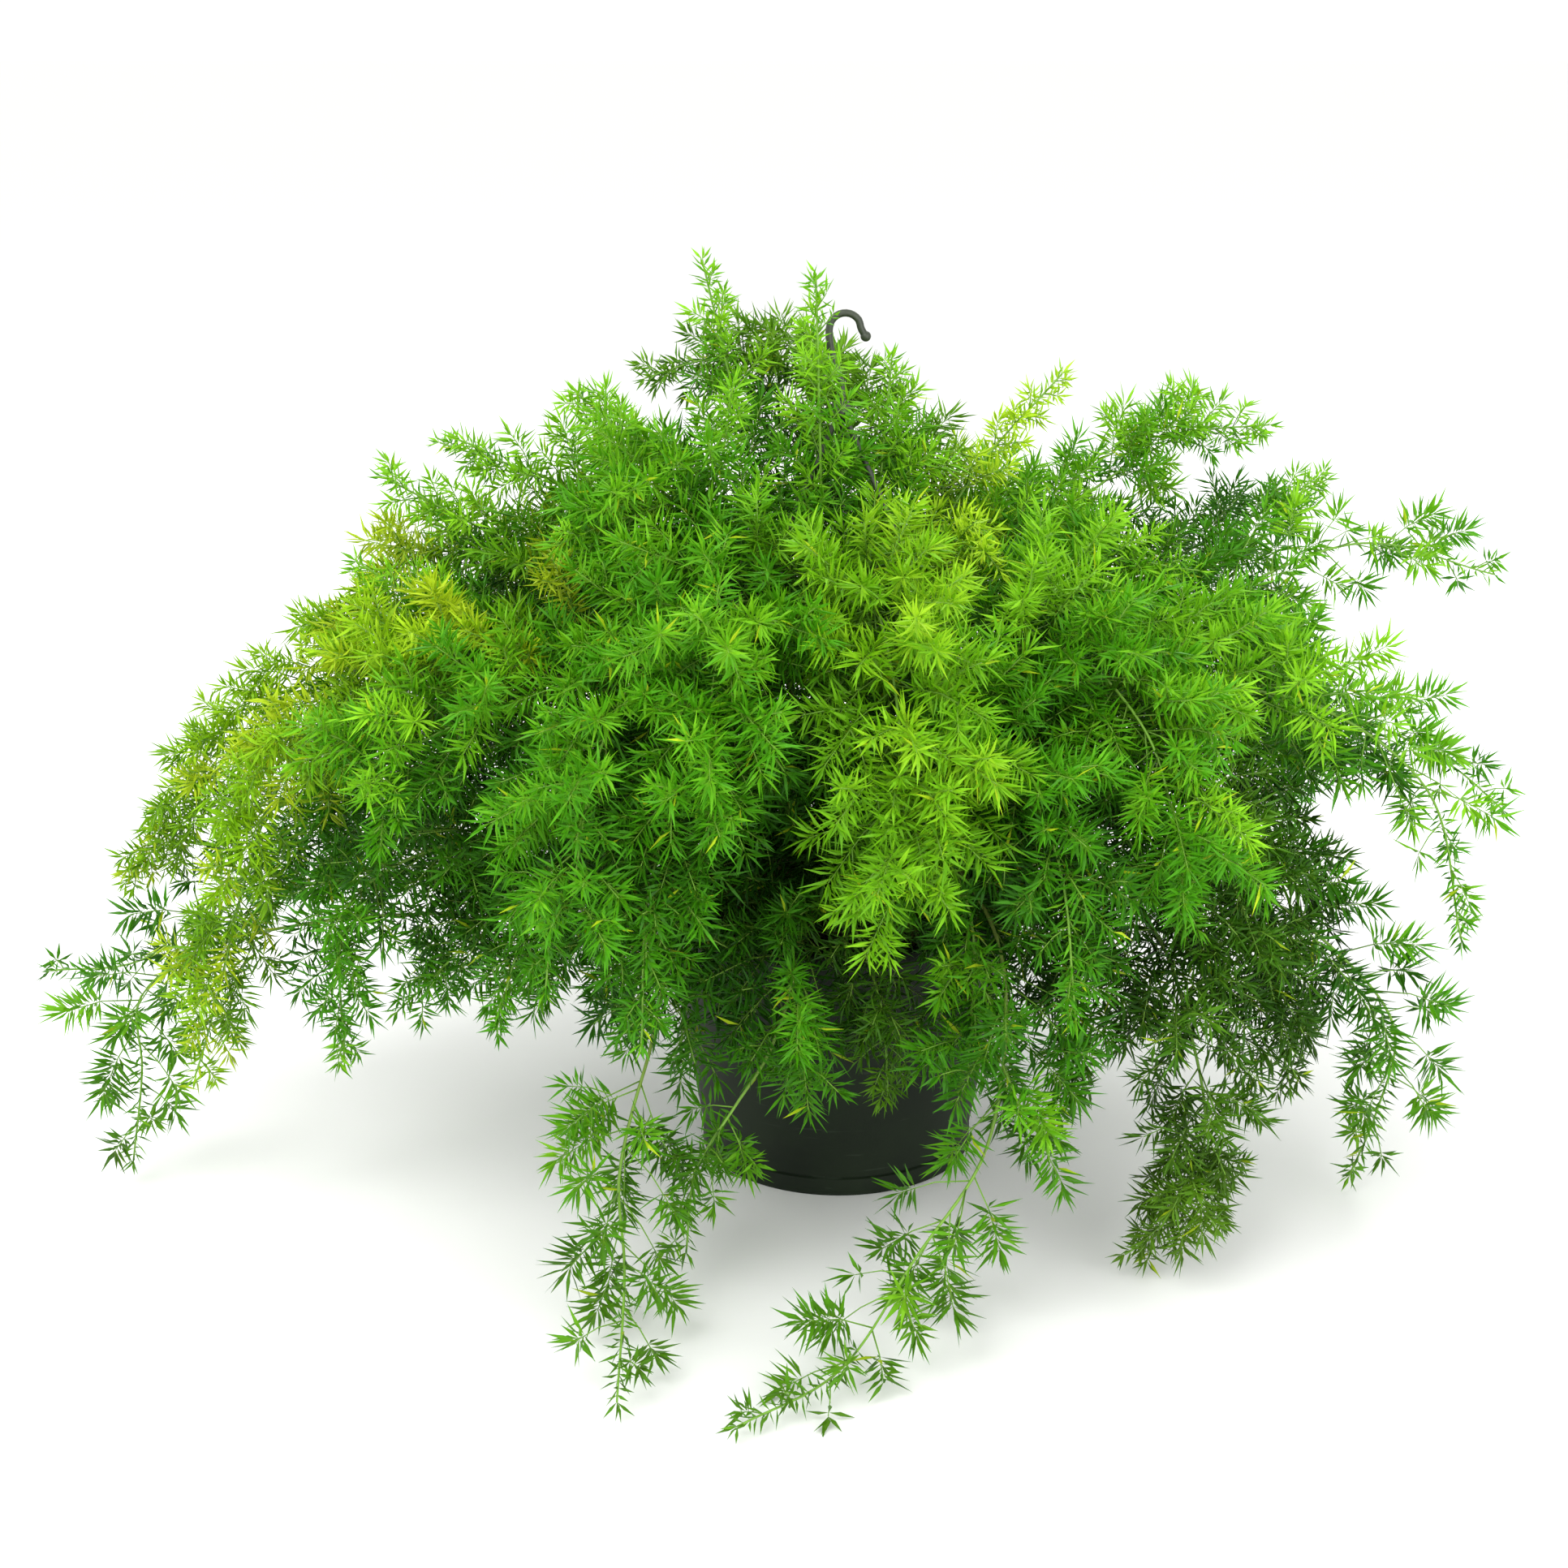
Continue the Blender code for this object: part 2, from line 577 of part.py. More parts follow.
def stem_rings(path, places, toward):
    """The corners of each ring, carried along the stem without twist."""
    centres = points_at(path, places)
    ahead = points_at(path, np.minimum(places + AXIS_STEP, lengths_along(path)[-1]))
    behind = points_at(path, np.maximum(places - AXIS_STEP, 0.0))
    rings, axes = [], []
    for index, centre in enumerate(centres):
        axis = unit(ahead[index] - behind[index])
        if index == 0:
            axis = np.array([0.0, 0.0, 1.0])
        toward = across(toward, axis)
        share = places[index] / places[-1]
        radius = STEM_RADIUS + share * (STEM_TIP_RADIUS - STEM_RADIUS)
        rings.append(ring_round(centre, axis, toward, radius))
        axes.append(axis)
    return rings, axes


def plan_shoot(corners, axis, outward, stalk, lean, draw):
    """One side shoot: a bare stalk off three corners of the stem, then a core with its needles."""
    base = corners.mean(axis=0)
    way = unit(math.cos(math.radians(lean)) * axis + math.sin(math.radians(lean)) * outward)
    toward = across(corners[0] - base, way)
    steps = stalk + BAND_LENGTH * np.arange(len(SHOOT_LEANS) // 2 + 1)
    rings = []
    for index, step in enumerate(steps):
        radius = STALK_RADIUS if index == 0 else CORE_RADIUS
        rings.append(ring_round(base + step * way, way, toward, radius))
    needles = plan_needles(rings, [way] * len(rings), SHOOT_LEANS, NEEDLE_LENGTH, draw)
    spots = np.array([base + way, base + FOOT_LENGTH * way, base + steps[-1] * way])
    return {"rings": rings, "needles": needles, "spots": spots}


def shoot_room(shoot, crowd, number):
    """The room beside a shoot's foot, its own stem left out, and beside the rest of its stalk."""
    spots, girth = shoot["spots"], SHOOT_GIRTH
    foot = crowd.room(spots[:1], spots[1:2], girth[:1], girth[1:2], skip=number)
    rest = crowd.room(spots[1:2], spots[2:], girth[1:2], girth[2:])
    return min(foot[0], rest[0])


def place_shoot(plan, band, crowd, draw):
    """Tries each side, stalk length and lean, and keeps the shoot with most room for needles."""
    low, high = plan["rings"][band], plan["rings"][band + 1]
    axis = plan["axes"][band]
    middle = (low.mean(axis=0) + high.mean(axis=0)) / 2
    from_plant = unit(middle - np.array([0.0, 0.0, SOIL_TOP + CROWN_RISE]))
    shorter = 1.0 - STALK_SHORTENING * plan["shares"][band] ** 3
    best, best_score = None, LEAST_SCORE
    for side in range(3):
        after = (side + 1) % 3
        normal = side_normal(middle, axis, (low[side] + high[side]) / 2, (low[after] + high[after]) / 2)
        corners = np.array([low[side], low[after], high[after]])
        for stalk in STALK_LENGTHS:
            outward = turned(normal, axis, draw.uniform(-SHOOT_TURN, SHOOT_TURN))
            lean = draw.uniform(*SHOOT_LEAN_RANGE)
            shoot = plan_shoot(corners, axis, outward, shorter * stalk, lean, draw)
            if shoot_room(shoot, crowd, plan["number"]) < CLEARANCE:
                continue
            fitted, score = fit_needles(shoot["needles"], crowd)
            score += OUTWARD_WORTH * float(np.dot(outward, from_plant))
            score -= SAME_SIDE_COST * (side == plan["last_side"])
            if score > best_score:
                best_score = score
                best = {**shoot, "fitted": fitted, "side": side}
    if best is None:
        return
    plan["last_side"] = best["side"]
    plan["shoots"][band] = best
    spots = best["spots"]
    crowd.add(spots[1:2], spots[2:], SHOOT_GIRTH[1:2], SHOOT_GIRTH[2:])
    add_needles(crowd, best["fitted"])
    around = plan_needles([low, high], [axis, axis], NODE_LEANS, NODE_NEEDLE_LENGTH, draw)[:-1]
    around = [needle for needle in around if needle["place"][1] != best["side"]]
    best["around"], _ = fit_needles(around, crowd, skip=plan["number"])
    add_needles(crowd, best["around"])
    crowd.add(spots[:1], spots[1:2], SHOOT_GIRTH[:1], SHOOT_GIRTH[1:2])


def plan_fronds(table, hanger_points):
    """Plans every frond: stems first, then their tips, then side shoots in turn for all fronds."""
    crowd = Crowd()
    for points in hanger_points:
        girth = np.full(len(points) - 1, max(ARM_RADIUS, HOOK_THICKNESS) + HANGER_ROOM)
        crowd.add(points[:-1], points[1:], girth, girth)
    hub = np.array([[0.0, 0.0, HUB_BOTTOM], [0.0, 0.0, HUB_BOTTOM + HUB_HEIGHT]])
    crowd.add(hub[:1], hub[1:], np.array([HUB_RADIUS]), np.array([HUB_RADIUS]))
    fixed = np.vstack([read_every(points, PATH_STEP) for points in hanger_points])
    plans = []
    for number, path in enumerate(stem_paths(table, fixed)):
        draw = np.random.default_rng((SEED, number))
        places, shares = plan_stem(path, draw)
        rings, axes = stem_rings(path, places, np.array([1.0, 0.0, 0.0]))
        plans.append({"number": number, "path": path, "rings": rings, "axes": axes,
                      "shares": shares, "draw": draw, "shoots": {}, "last_side": number % 3})
    core = len(TIP_LEANS) // 2
    for number, plan in enumerate(plans):
        centres = np.array([ring.mean(axis=0) for ring in plan["rings"]])
        girth = np.linalg.norm(np.array([ring[0] for ring in plan["rings"]]) - centres, axis=1)
        start, end = centres[:-1].copy(), centres[1:]
        start[0] += (0.0, 0.0, ROOT_RISE)
        crowd.add(start, end, girth[:-1], girth[1:], owner=number)
    for number, plan in enumerate(plans):
        rings, axes = plan["rings"][-core - 1:], plan["axes"][-core - 1:]
        needles = plan_needles(rings, axes, TIP_LEANS, TIP_NEEDLE_LENGTH, plan["draw"])
        plan["tip"], _ = fit_needles(needles, crowd, skip=number)
        add_needles(crowd, plan["tip"])
    for turn in range(SHOOTS_MOST):
        for plan in plans:
            bands = list(plan["shares"])
            if turn < len(bands):
                place_shoot(plan, bands[-1 - turn], crowd, plan["draw"])
    return plans


def grow(bm, cap, ring):
    """Draws a three-cornered face out to a new ring. Gives the new face and the three sides."""
    below = list(cap.verts)
    cap = bmesh.ops.extrude_discrete_faces(bm, faces=[cap])["faces"][0]
    above = [min(cap.verts, key=lambda vert: (vert.co - low.co).length) for low in below]
    sides = []
    for side in range(3):
        after = (side + 1) % 3
        wanted = {below[side], below[after], above[after], above[side]}
        face = next(face for face in above[side].link_faces if set(face.verts) == wanted)
        sides.append((face, below[side], below[after], above[after]))
    for vert, spot in zip(above, ring):
        vert.co = Vector(spot) * MM
    return cap, sides


def split_side(side):
    """Splits a side face into its lower and its upper triangle."""
    face, start, corner, end = side
    other = bmesh.utils.face_split(face, start, end)[0]
    return (face, other) if corner in face.verts else (other, face)


def raise_needle(bm, face, tip):
    point = bmesh.ops.poke(bm, faces=[face])["verts"][0]
    point.co = Vector(tip) * MM


def raise_side_needles(bm, sides, band, fitted):
    """Raises the needles of one band: at most two from each side face."""
    for number, side in enumerate(sides):
        wanted = [fitted.get((band, number, half)) for half in range(2)]
        if not any(wanted):
            continue
        for face, needle in zip(split_side(side), wanted):
            if needle:
                raise_needle(bm, face, needle[1])


def grow_core(bm, cap, rings, fitted):
    """Grows a core through its rings and raises the needles that have room."""
    for band, ring in enumerate(rings[1:]):
        cap, sides = grow(bm, cap, ring)
        raise_side_needles(bm, sides, band, fitted)
    if "end" in fitted:
        raise_needle(bm, cap, fitted["end"][1])


def build_frond(name, plan, material, collection):
    bm = bmesh.new()
    root = plan["rings"][0].mean(axis=0)
    depth = ROOT_DEPTH + ROOT_STAND
    middle = Vector((root[0], root[1], SOIL_TOP - ROOT_DEPTH + depth / 2)) * MM
    bmesh.ops.create_cone(bm, cap_ends=True, segments=3, radius1=STEM_RADIUS * MM,
                          radius2=STEM_RADIUS * MM, depth=depth * MM,
                          matrix=Matrix.Translation(middle) @ root_turn())
    bm.normal_update()
    cap = max(bm.faces, key=lambda face: face.normal.z)
    cap = order_from(bm, cap, Vector(plan["rings"][0][0]) * MM)
    core = len(plan["rings"]) - 1 - len(TIP_LEANS) // 2
    for index in range(1, core + 1):
        cap, sides = grow(bm, cap, plan["rings"][index])
        shoot = plan["shoots"].get(index - 1)
        if shoot:
            foot = split_side(sides[shoot["side"]])[0]
            foot = order_from(bm, foot, Vector(plan["rings"][index - 1][shoot["side"]]) * MM)
            foot, _ = grow(bm, foot, shoot["rings"][0])
            grow_core(bm, foot, shoot["rings"], shoot["fitted"])
            raise_side_needles(bm, sides, 0, shoot["around"])
    grow_core(bm, cap, plan["rings"][core:], plan["tip"])
    bmesh.ops.triangulate(bm, faces=[face for face in bm.faces if len(face.verts) > 3])
    frond = mesh_object(name, bm, collection)
    frond.data.materials.append(material)
    return frond


def root_turn():
    """Turns a three-sided cone so that its first corner points along +X."""
    return Matrix.Rotation(math.radians(-90.0), 4, "Z")


def order_from(bm, face, spot):
    """The same face, made again so that its corners are listed from the one nearest a spot."""
    verts = list(face.verts)
    first = min(range(len(verts)), key=lambda index: (verts[index].co - spot).length)
    if first == 0:
        return face
    bm.faces.remove(face)
    return bm.faces.new(verts[first:] + verts[:first])


def build_pot(collection, cutters):
    """The pot: its profile runs from the inner floor over the lip and down the outer side."""
    lip_bottom = POT_HEIGHT - LIP_HEIGHT
    band = wall_radius(BAND_HEIGHT) + BAND_STAND
    profile = [
        (0.0, FLOOR),
        (wall_radius(FLOOR) - WALL, FLOOR),
        (wall_radius(POT_HEIGHT) - WALL, POT_HEIGHT),
        (RIM_RADIUS - LIP_EDGE, POT_HEIGHT),
        (RIM_RADIUS, POT_HEIGHT - LIP_EDGE),
        (RIM_RADIUS, lip_bottom),
        (wall_radius(lip_bottom), lip_bottom),
        (wall_radius(BAND_HEIGHT + GROOVE_WIDTH), BAND_HEIGHT + GROOVE_WIDTH),
        (wall_radius(BAND_HEIGHT) - BAND_STAND, BAND_HEIGHT + GROOVE_WIDTH / 2),
        (band, BAND_HEIGHT),
        (band, FOOT_EDGE),
        (band - FOOT_EDGE, 0.0),
        (0.0, 0.0),
    ]
    pot = turned_solid("pot", profile, collection)
    drains = bmesh.new()
    for number in range(DRAIN_COUNT):
        x, y, z = polar(90.0 + 360.0 * number / DRAIN_COUNT, DRAIN_CIRCLE, FLOOR / 2)
        bmesh.ops.create_cone(drains, cap_ends=True, segments=8, radius1=DRAIN_RADIUS * MM,
                              radius2=DRAIN_RADIUS * MM, depth=2 * FLOOR * MM,
                              matrix=Matrix.Translation(Vector((x, y, z)) * MM))
    add_boolean(pot, "DIFFERENCE", make_cutter("drain_holes", drains, cutters))
    pot.data.materials.append(make_material("black_pot_plastic", COLOURS["pot"], 0.42))
    return pot


def turned_solid(name, profile, collection):
    mesh = bpy.data.meshes.new(name)
    verts = [(radius * MM, 0.0, height * MM) for radius, height in profile]
    mesh.from_pydata(verts, [(index, index + 1) for index in range(len(verts) - 1)], [])
    solid = bpy.data.objects.new(name, mesh)
    collection.objects.link(solid)
    screw = solid.modifiers.new("turned", "SCREW")
    screw.axis = "Z"
    screw.steps = POT_SIDES
    screw.render_steps = POT_SIDES
    screw.use_merge_vertices = True
    screw.merge_threshold = 0.00001
    screw.use_smooth_shade = False
    return solid


def build_soil(spots, collection, cutters):
    """The potting mix: a tapered plug with a plain hole for each stem."""
    bottom = FLOOR + CLEARANCE
    gap = WALL + CLEARANCE
    profile = [
        (0.0, SOIL_TOP),
        (wall_radius(SOIL_TOP) - gap, SOIL_TOP),
        (wall_radius(bottom) - gap, bottom),
        (0.0, bottom),
    ]
    soil = turned_solid("soil", profile, collection)
    holes = bmesh.new()
    depth = 2 * ROOT_DEPTH
    for x, y in spots:
        z = SOIL_TOP - ROOT_DEPTH - CLEARANCE + depth / 2
        radius = (STEM_RADIUS + HOLE_EXTRA) * MM
        bmesh.ops.create_cone(holes, cap_ends=True, segments=3, radius1=radius, radius2=radius,
                              depth=depth * MM,
                              matrix=Matrix.Translation(Vector((x, y, z)) * MM) @ root_turn())
    add_boolean(soil, "DIFFERENCE", make_cutter("root_holes", holes, cutters))
    soil.data.materials.append(make_material("potting_mix", COLOURS["soil"], 0.95))
    return soil


def rod_mesh(places, radius):
    """A round rod through the places, as a closed mesh object."""
    curve = bpy.data.curves.new("rod", "CURVE")
    curve.dimensions = "3D"
    curve.bevel_depth = radius * MM
    curve.bevel_resolution = 1
    curve.use_fill_caps = True
    spline = curve.splines.new("POLY")
    spline.points.add(len(places) - 1)
    for point, place in zip(spline.points, places):
        point.co = (*(Vector(place) * MM), 1.0)
    shape = bpy.data.objects.new("rod", curve)
    bpy.context.scene.collection.objects.link(shape)
    bpy.context.view_layer.update()
    mesh = bpy.data.meshes.new_from_object(shape.evaluated_get(bpy.context.evaluated_depsgraph_get()))
    bpy.data.objects.remove(shape, do_unlink=True)
    bm = bmesh.new()
    bm.from_mesh(mesh)
    bpy.data.meshes.remove(mesh)
    bmesh.ops.remove_doubles(bm, verts=bm.verts, dist=0.00001)
    return bm


def build_hanger(collection):
    """The hanger: hub, arms, hook and knob, joined into one moulded piece."""
    pieces = bpy.data.collections.new("hanger_pieces")
    bpy.context.scene.collection.children.link(pieces)
    for azimuth in ARM_AZIMUTHS:
        mesh_object("arm", rod_mesh(arm_places(azimuth), ARM_RADIUS), pieces)
    mesh_object("hook", rod_mesh(hook_places(), HOOK_THICKNESS), pieces)
    knob = bmesh.new()
    bmesh.ops.create_icosphere(knob, subdivisions=1, radius=KNOB_RADIUS * MM,
                               matrix=Matrix.Translation(Vector(hook_places()[-1]) * MM))
    mesh_object("knob", knob, pieces)
    hub = bmesh.new()
    middle = Vector((0.0, 0.0, HUB_BOTTOM + HUB_HEIGHT / 2)) * MM
    bmesh.ops.create_cone(hub, cap_ends=True, segments=10, radius1=HUB_RADIUS * MM,
                          radius2=HUB_TOP_SHARE * HUB_RADIUS * MM, depth=HUB_HEIGHT * MM,
                          matrix=Matrix.Translation(middle))
    hanger = mesh_object("hanger", hub, collection)
    joined = hanger.modifiers.new("joined", "BOOLEAN")
    joined.operation = "UNION"
    joined.solver = "EXACT"
    joined.operand_type = "COLLECTION"
    joined.collection = pieces
    bpy.context.view_layer.update()
    solid = hanger.evaluated_get(bpy.context.evaluated_depsgraph_get())
    mesh = bpy.data.meshes.new_from_object(solid)
    hanger.modifiers.clear()
    hanger.data = mesh
    for piece in list(pieces.objects):
        bpy.data.objects.remove(piece, do_unlink=True)
    bpy.data.collections.remove(pieces)
    hanger.data.materials.append(make_material("hanger_plastic", COLOURS["hanger"], 0.45))
    return hanger


def main():
    clear_scene()
    parts = make_collection("sprengeri_asparagus_fern")
    cutters = make_collection("cutters")
    table = frond_table()
    hanger_points = [arm_places(azimuth) for azimuth in ARM_AZIMUTHS] + [hook_places()]
    plans = plan_fronds(table, hanger_points)
    build_pot(parts, cutters)
    build_soil([plan["path"][0][:2] for plan in plans], parts, cutters)
    build_hanger(parts)
    for (name, colour, _), plan in zip(table, plans):
        material = make_material(f"needles_{name}", COLOURS[colour], 0.55)
        build_frond(f"frond_{name}", plan, material, parts)
    return table, plans


main()
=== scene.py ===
# %% [markdown]
# # A sprengeri asparagus fern in a nursery pot
#
# The plant is a crown of thin stems that arch out of a dark plastic pot and trail over its edge.
# Each stem carries short side shoots, and each shoot carries whorls of flat green needles. This
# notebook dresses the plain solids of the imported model: every frond, the pot, the potting mix and
# the hanger get a finer mesh in the same place, and each gets a material made with nodes.

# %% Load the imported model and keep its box
import math

import bmesh
import bpy
import numpy as np
from mathutils import Matrix, Vector


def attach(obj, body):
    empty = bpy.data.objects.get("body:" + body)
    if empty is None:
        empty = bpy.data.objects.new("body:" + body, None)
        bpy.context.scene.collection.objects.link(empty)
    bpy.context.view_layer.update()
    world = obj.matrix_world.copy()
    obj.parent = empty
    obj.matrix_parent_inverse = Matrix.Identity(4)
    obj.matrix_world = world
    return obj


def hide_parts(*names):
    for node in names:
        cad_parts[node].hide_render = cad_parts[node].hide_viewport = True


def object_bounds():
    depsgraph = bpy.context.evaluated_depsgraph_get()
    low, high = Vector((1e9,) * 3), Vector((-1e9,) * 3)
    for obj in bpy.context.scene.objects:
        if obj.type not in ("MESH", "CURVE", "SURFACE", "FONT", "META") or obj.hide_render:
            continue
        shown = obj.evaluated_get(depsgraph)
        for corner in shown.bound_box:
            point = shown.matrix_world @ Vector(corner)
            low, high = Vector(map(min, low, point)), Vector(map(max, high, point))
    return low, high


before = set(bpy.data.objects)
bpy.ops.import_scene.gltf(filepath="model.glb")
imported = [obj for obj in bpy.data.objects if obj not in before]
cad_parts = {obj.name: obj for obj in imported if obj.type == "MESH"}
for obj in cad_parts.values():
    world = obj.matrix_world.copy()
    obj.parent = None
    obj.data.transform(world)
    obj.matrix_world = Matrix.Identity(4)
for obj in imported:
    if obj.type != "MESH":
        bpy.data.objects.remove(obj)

cad_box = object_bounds()
print("nodes in the frame:", len(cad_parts))

# %% [markdown]
# ## Working in millimetres
#
# A plant this size is easiest to think about in millimetres, while Blender works in metres. All
# the routes below are in millimetres and are turned into metres once, when a mesh is made. The
# origin is the middle of the pot's base, +Z is up and -Y faces the viewer.

# %% Sizes of the pot and the plant
MM = 0.001
SEED = 11
POT_HEIGHT = 165.0
BASE_RADIUS = 80.0
SHOULDER_RADIUS = 107.0
RIM_RADIUS = 115.0
LIP_HEIGHT = 8.0
WALL = 1.8
FLOOR = 2.4
BAND_HEIGHT = 11.0
BAND_STAND = 0.7
GROOVE_WIDTH = 1.6
SOIL_TOP = 140.0
HUB_BOTTOM = 448.0
HUB_HEIGHT = 9.0
HUB_RADIUS = 6.5
HOOK_RADIUS = 9.0
HOOK_CENTRE = (2.0, 0.0, 497.0)
HOOK_THICKNESS = 2.1
ARM_AZIMUTHS = (90.0, 210.0, 330.0)
ARM_RADIUS = 1.7
ARM_BOW = 12.0
ARM_GAP = 0.3
ARM_CORNER = 1.6
ARM_RISE = 4.0
CLIP_REACH = 5.0
print("pot in mm:", 2 * RIM_RADIUS, "across its rim,", POT_HEIGHT, "tall")

# %% [markdown]
# ## Where each stem runs
#
# A stem is a curve through a few places. They were read from the photograph, where the outer
# stems show well, and chosen one by one inside the mound. Listed places suit a plant better than
# a growth rule, because the outline is what makes it look like this one. The side that can't be
# seen follows a rule, with the same kind of arch.

# %% The stems, each with its colour and the places it passes
FRONDS = {
    "crest_left": ("green", [(-15, 20, 280), (-55, 50, 425), (-80, 60, 530)]),
    "crest_middle": ("green", [(-10, -10, 315), (-12, -22, 430), (-15, -25, 530)]),
    "crest_arch": ("deep", [(25, 60, 375), (0, 75, 435), (-35, 80, 465), (-75, 80, 470),
                            (-115, 70, 460)]),
    "crest_right": ("green", [(20, 10, 350), (25, 30, 420), (30, 40, 475)]),
    "lime_spire": ("lime", [(40, 40, 320), (80, 70, 400), (135, 90, 460)]),
    "high_right": ("green", [(75, 90, 310), (160, 150, 375), (225, 170, 410), (280, 180, 415)]),
    "long_right": ("green", [(100, 50, 260), (230, 100, 315), (330, 120, 350), (415, 120, 330)]),
    "spire_right": ("green", [(100, 120, 250), (225, 190, 325), (330, 230, 370)]),
    "arch_right": ("green", [(110, 0, 265), (215, 0, 290), (310, -10, 270), (360, -15, 245),
                             (390, -20, 220)]),
    "hang_right": ("green", [(100, -50, 265), (235, -70, 305), (325, -80, 255), (355, -80, 160)]),
    "low_right": ("green", [(95, -40, 225), (210, -80, 205), (280, -95, 160), (315, -100, 115),
                            (310, -95, 60), (300, -85, 15)]),
    "dark_right": ("deep", [(70, -70, 215), (160, -130, 200), (190, -165, 130), (195, -180, 80),
                            (180, -180, 35), (155, -180, 15)]),
    "drop_right": ("deep", [(60, -90, 220), (120, -150, 205), (125, -160, 105)]),
    "fall_right": ("deep", [(85, -60, 240), (175, -115, 260), (225, -135, 185), (250, -135, 95)]),
    "trail_front": ("green", [(35, -110, 240), (80, -180, 200), (75, -215, 100), (35, -250, 50),
                              (-5, -300, 15), (-55, -340, 9)]),
    "bright_front": ("green", [(10, -70, 255), (40, -140, 260), (65, -185, 215), (65, -195, 125)]),
    "drape_middle": ("deep", [(-5, -85, 200), (5, -140, 195), (20, -160, 155), (25, -150, 95)]),
    "drape_left": ("green", [(-30, -90, 195), (-25, -150, 180), (-40, -165, 130), (-60, -175, 100),
                             (-80, -190, 70), (-85, -205, 30)]),
    "trail_left": ("green", [(-60, -80, 195), (-95, -130, 165), (-105, -165, 130), (-115, -190, 100),
                             (-120, -210, 75), (-115, -250, 45), (-115, -320, 10)]),
    "hang_front_left": ("green", [(-85, -70, 210), (-155, -130, 225), (-190, -150, 140)]),
    "low_left": ("green", [(-75, -20, 185), (-185, -50, 170), (-300, -60, 165), (-375, -60, 145),
                           (-410, -60, 115), (-410, -65, 75), (-420, -65, 15)]),
    "reach_left": ("green", [(-80, 0, 200), (-250, 10, 205), (-365, 10, 165), (-425, 5, 115),
                             (-480, 0, 110)]),
    "yellow_left": ("lime", [(-80, -30, 255), (-195, -70, 320), (-290, -100, 290), (-370, -100, 85)]),
    "slope_left": ("lime", [(-70, 20, 270), (-200, 40, 355), (-320, 40, 285), (-435, 20, 160)]),
    "spray_left_high": ("green", [(-45, 40, 290), (-155, 70, 390), (-240, 80, 420)]),
    "spray_left_middle": ("green", [(-65, 10, 285), (-185, 20, 365), (-265, 20, 410)]),
    "spray_left_near": ("green", [(-35, 0, 310), (-110, 10, 420), (-150, 10, 460)]),
    "spray_left_low": ("green", [(-80, -20, 270), (-200, -40, 325), (-270, -50, 375)]),
    "lime_left": ("green", [(-75, -70, 250), (-175, -120, 310), (-255, -160, 285)]),
    "under_left_far": ("green", [(-85, -50, 205), (-190, -90, 230), (-270, -120, 200),
                                 (-280, -120, 105)]),
    "under_left_near": ("green", [(-75, -60, 195), (-160, -110, 210), (-250, -110, 130)]),
    "dome_left_high": ("green", [(-30, 0, 290), (-75, -20, 400), (-120, -80, 405)]),
    "dome_left_middle": ("green", [(-30, -50, 235), (-95, -110, 335), (-125, -190, 310),
                                   (-140, -235, 235)]),
    "dome_left_low": ("green", [(-45, -80, 215), (-120, -150, 265), (-150, -205, 225),
                                (-155, -215, 185)]),
    "dome_front_left": ("green", [(-25, -70, 225), (-75, -150, 290), (-100, -215, 245),
                                  (-105, -235, 165)]),
    "dome_front_high": ("green", [(-15, -30, 245), (-50, -90, 360), (-65, -165, 355), (-75, -225, 290)]),
    "dome_front": ("lime", [(5, -50, 250), (15, -105, 360), (25, -190, 330), (30, -240, 250)]),
    "dome_front_right": ("green", [(25, -70, 230), (75, -150, 300), (105, -215, 260), (115, -240, 180)]),
    "dome_right_high": ("lime", [(20, 0, 295), (50, -20, 380), (80, -80, 385)]),
    "dome_right_middle": ("green", [(30, -40, 235), (105, -80, 335), (155, -155, 310), (175, -205, 235)]),
    "dome_right_far": ("green", [(40, 40, 260), (145, 60, 350), (215, 40, 350)]),
    "under_right": ("deep", [(80, -30, 215), (170, -60, 250), (250, -70, 195), (270, -70, 90)]),
    "fill_left": ("green", [(-80, 10, 235), (-185, 10, 270), (-280, 0, 235), (-360, -10, 140)]),
    "fringe_left": ("green", [(-50, -75, 190), (-80, -115, 190), (-90, -140, 115)]),
    "fringe_right": ("green", [(45, -80, 190), (80, -120, 195), (95, -145, 130)]),
}
BACK_TIERS = (
    ("back_long", "green", (20, 47, 74, 101, 129, 157), ((90, 262), (230, 305), (320, 250), (355, 150))),
    ("back_dome", "green", (33, 88, 143), ((55, 285), (150, 375), (235, 345))),
    ("back_drape", "deep", (50, 92, 128), ((80, 200), (150, 215), (185, 150), (180, 70))),
)
BACK_VARIATION = (1.0, 0.88, 1.06, 0.93, 1.03, 0.9)
print("stems that show:", len(FRONDS))

# %% [markdown]
# ## Turning places into stems
#
# A centripetal Catmull-Rom curve passes through every place without overshooting, which suits a
# springy stem. The roots are spread apart in the soil, and a stem that would touch another is
# bent aside. The values are the ones that the solids were made with, so each fine frond lies
# exactly on its solid.

# %% Small tools for curves
CURVE_READS = 40


def polar(azimuth, radius, height):
    angle = math.radians(azimuth)
    return (radius * math.cos(angle), radius * math.sin(angle), height)


def lengths_along(path):
    return np.concatenate([[0.0], np.cumsum(np.linalg.norm(np.diff(path, axis=0), axis=1))])


def points_at(path, places):
    along = lengths_along(path)
    return np.stack([np.interp(places, along, path[:, axis]) for axis in range(3)], axis=-1)


def read_every(path, step):
    total = lengths_along(path)[-1]
    return points_at(path, np.linspace(0.0, total, max(2, round(total / step) + 1)))


def between(t, start, end, first, last):
    """The point on a line from first to last, as t goes from start to end."""
    return ((end - t) * first + (t - start) * last) / (end - start)


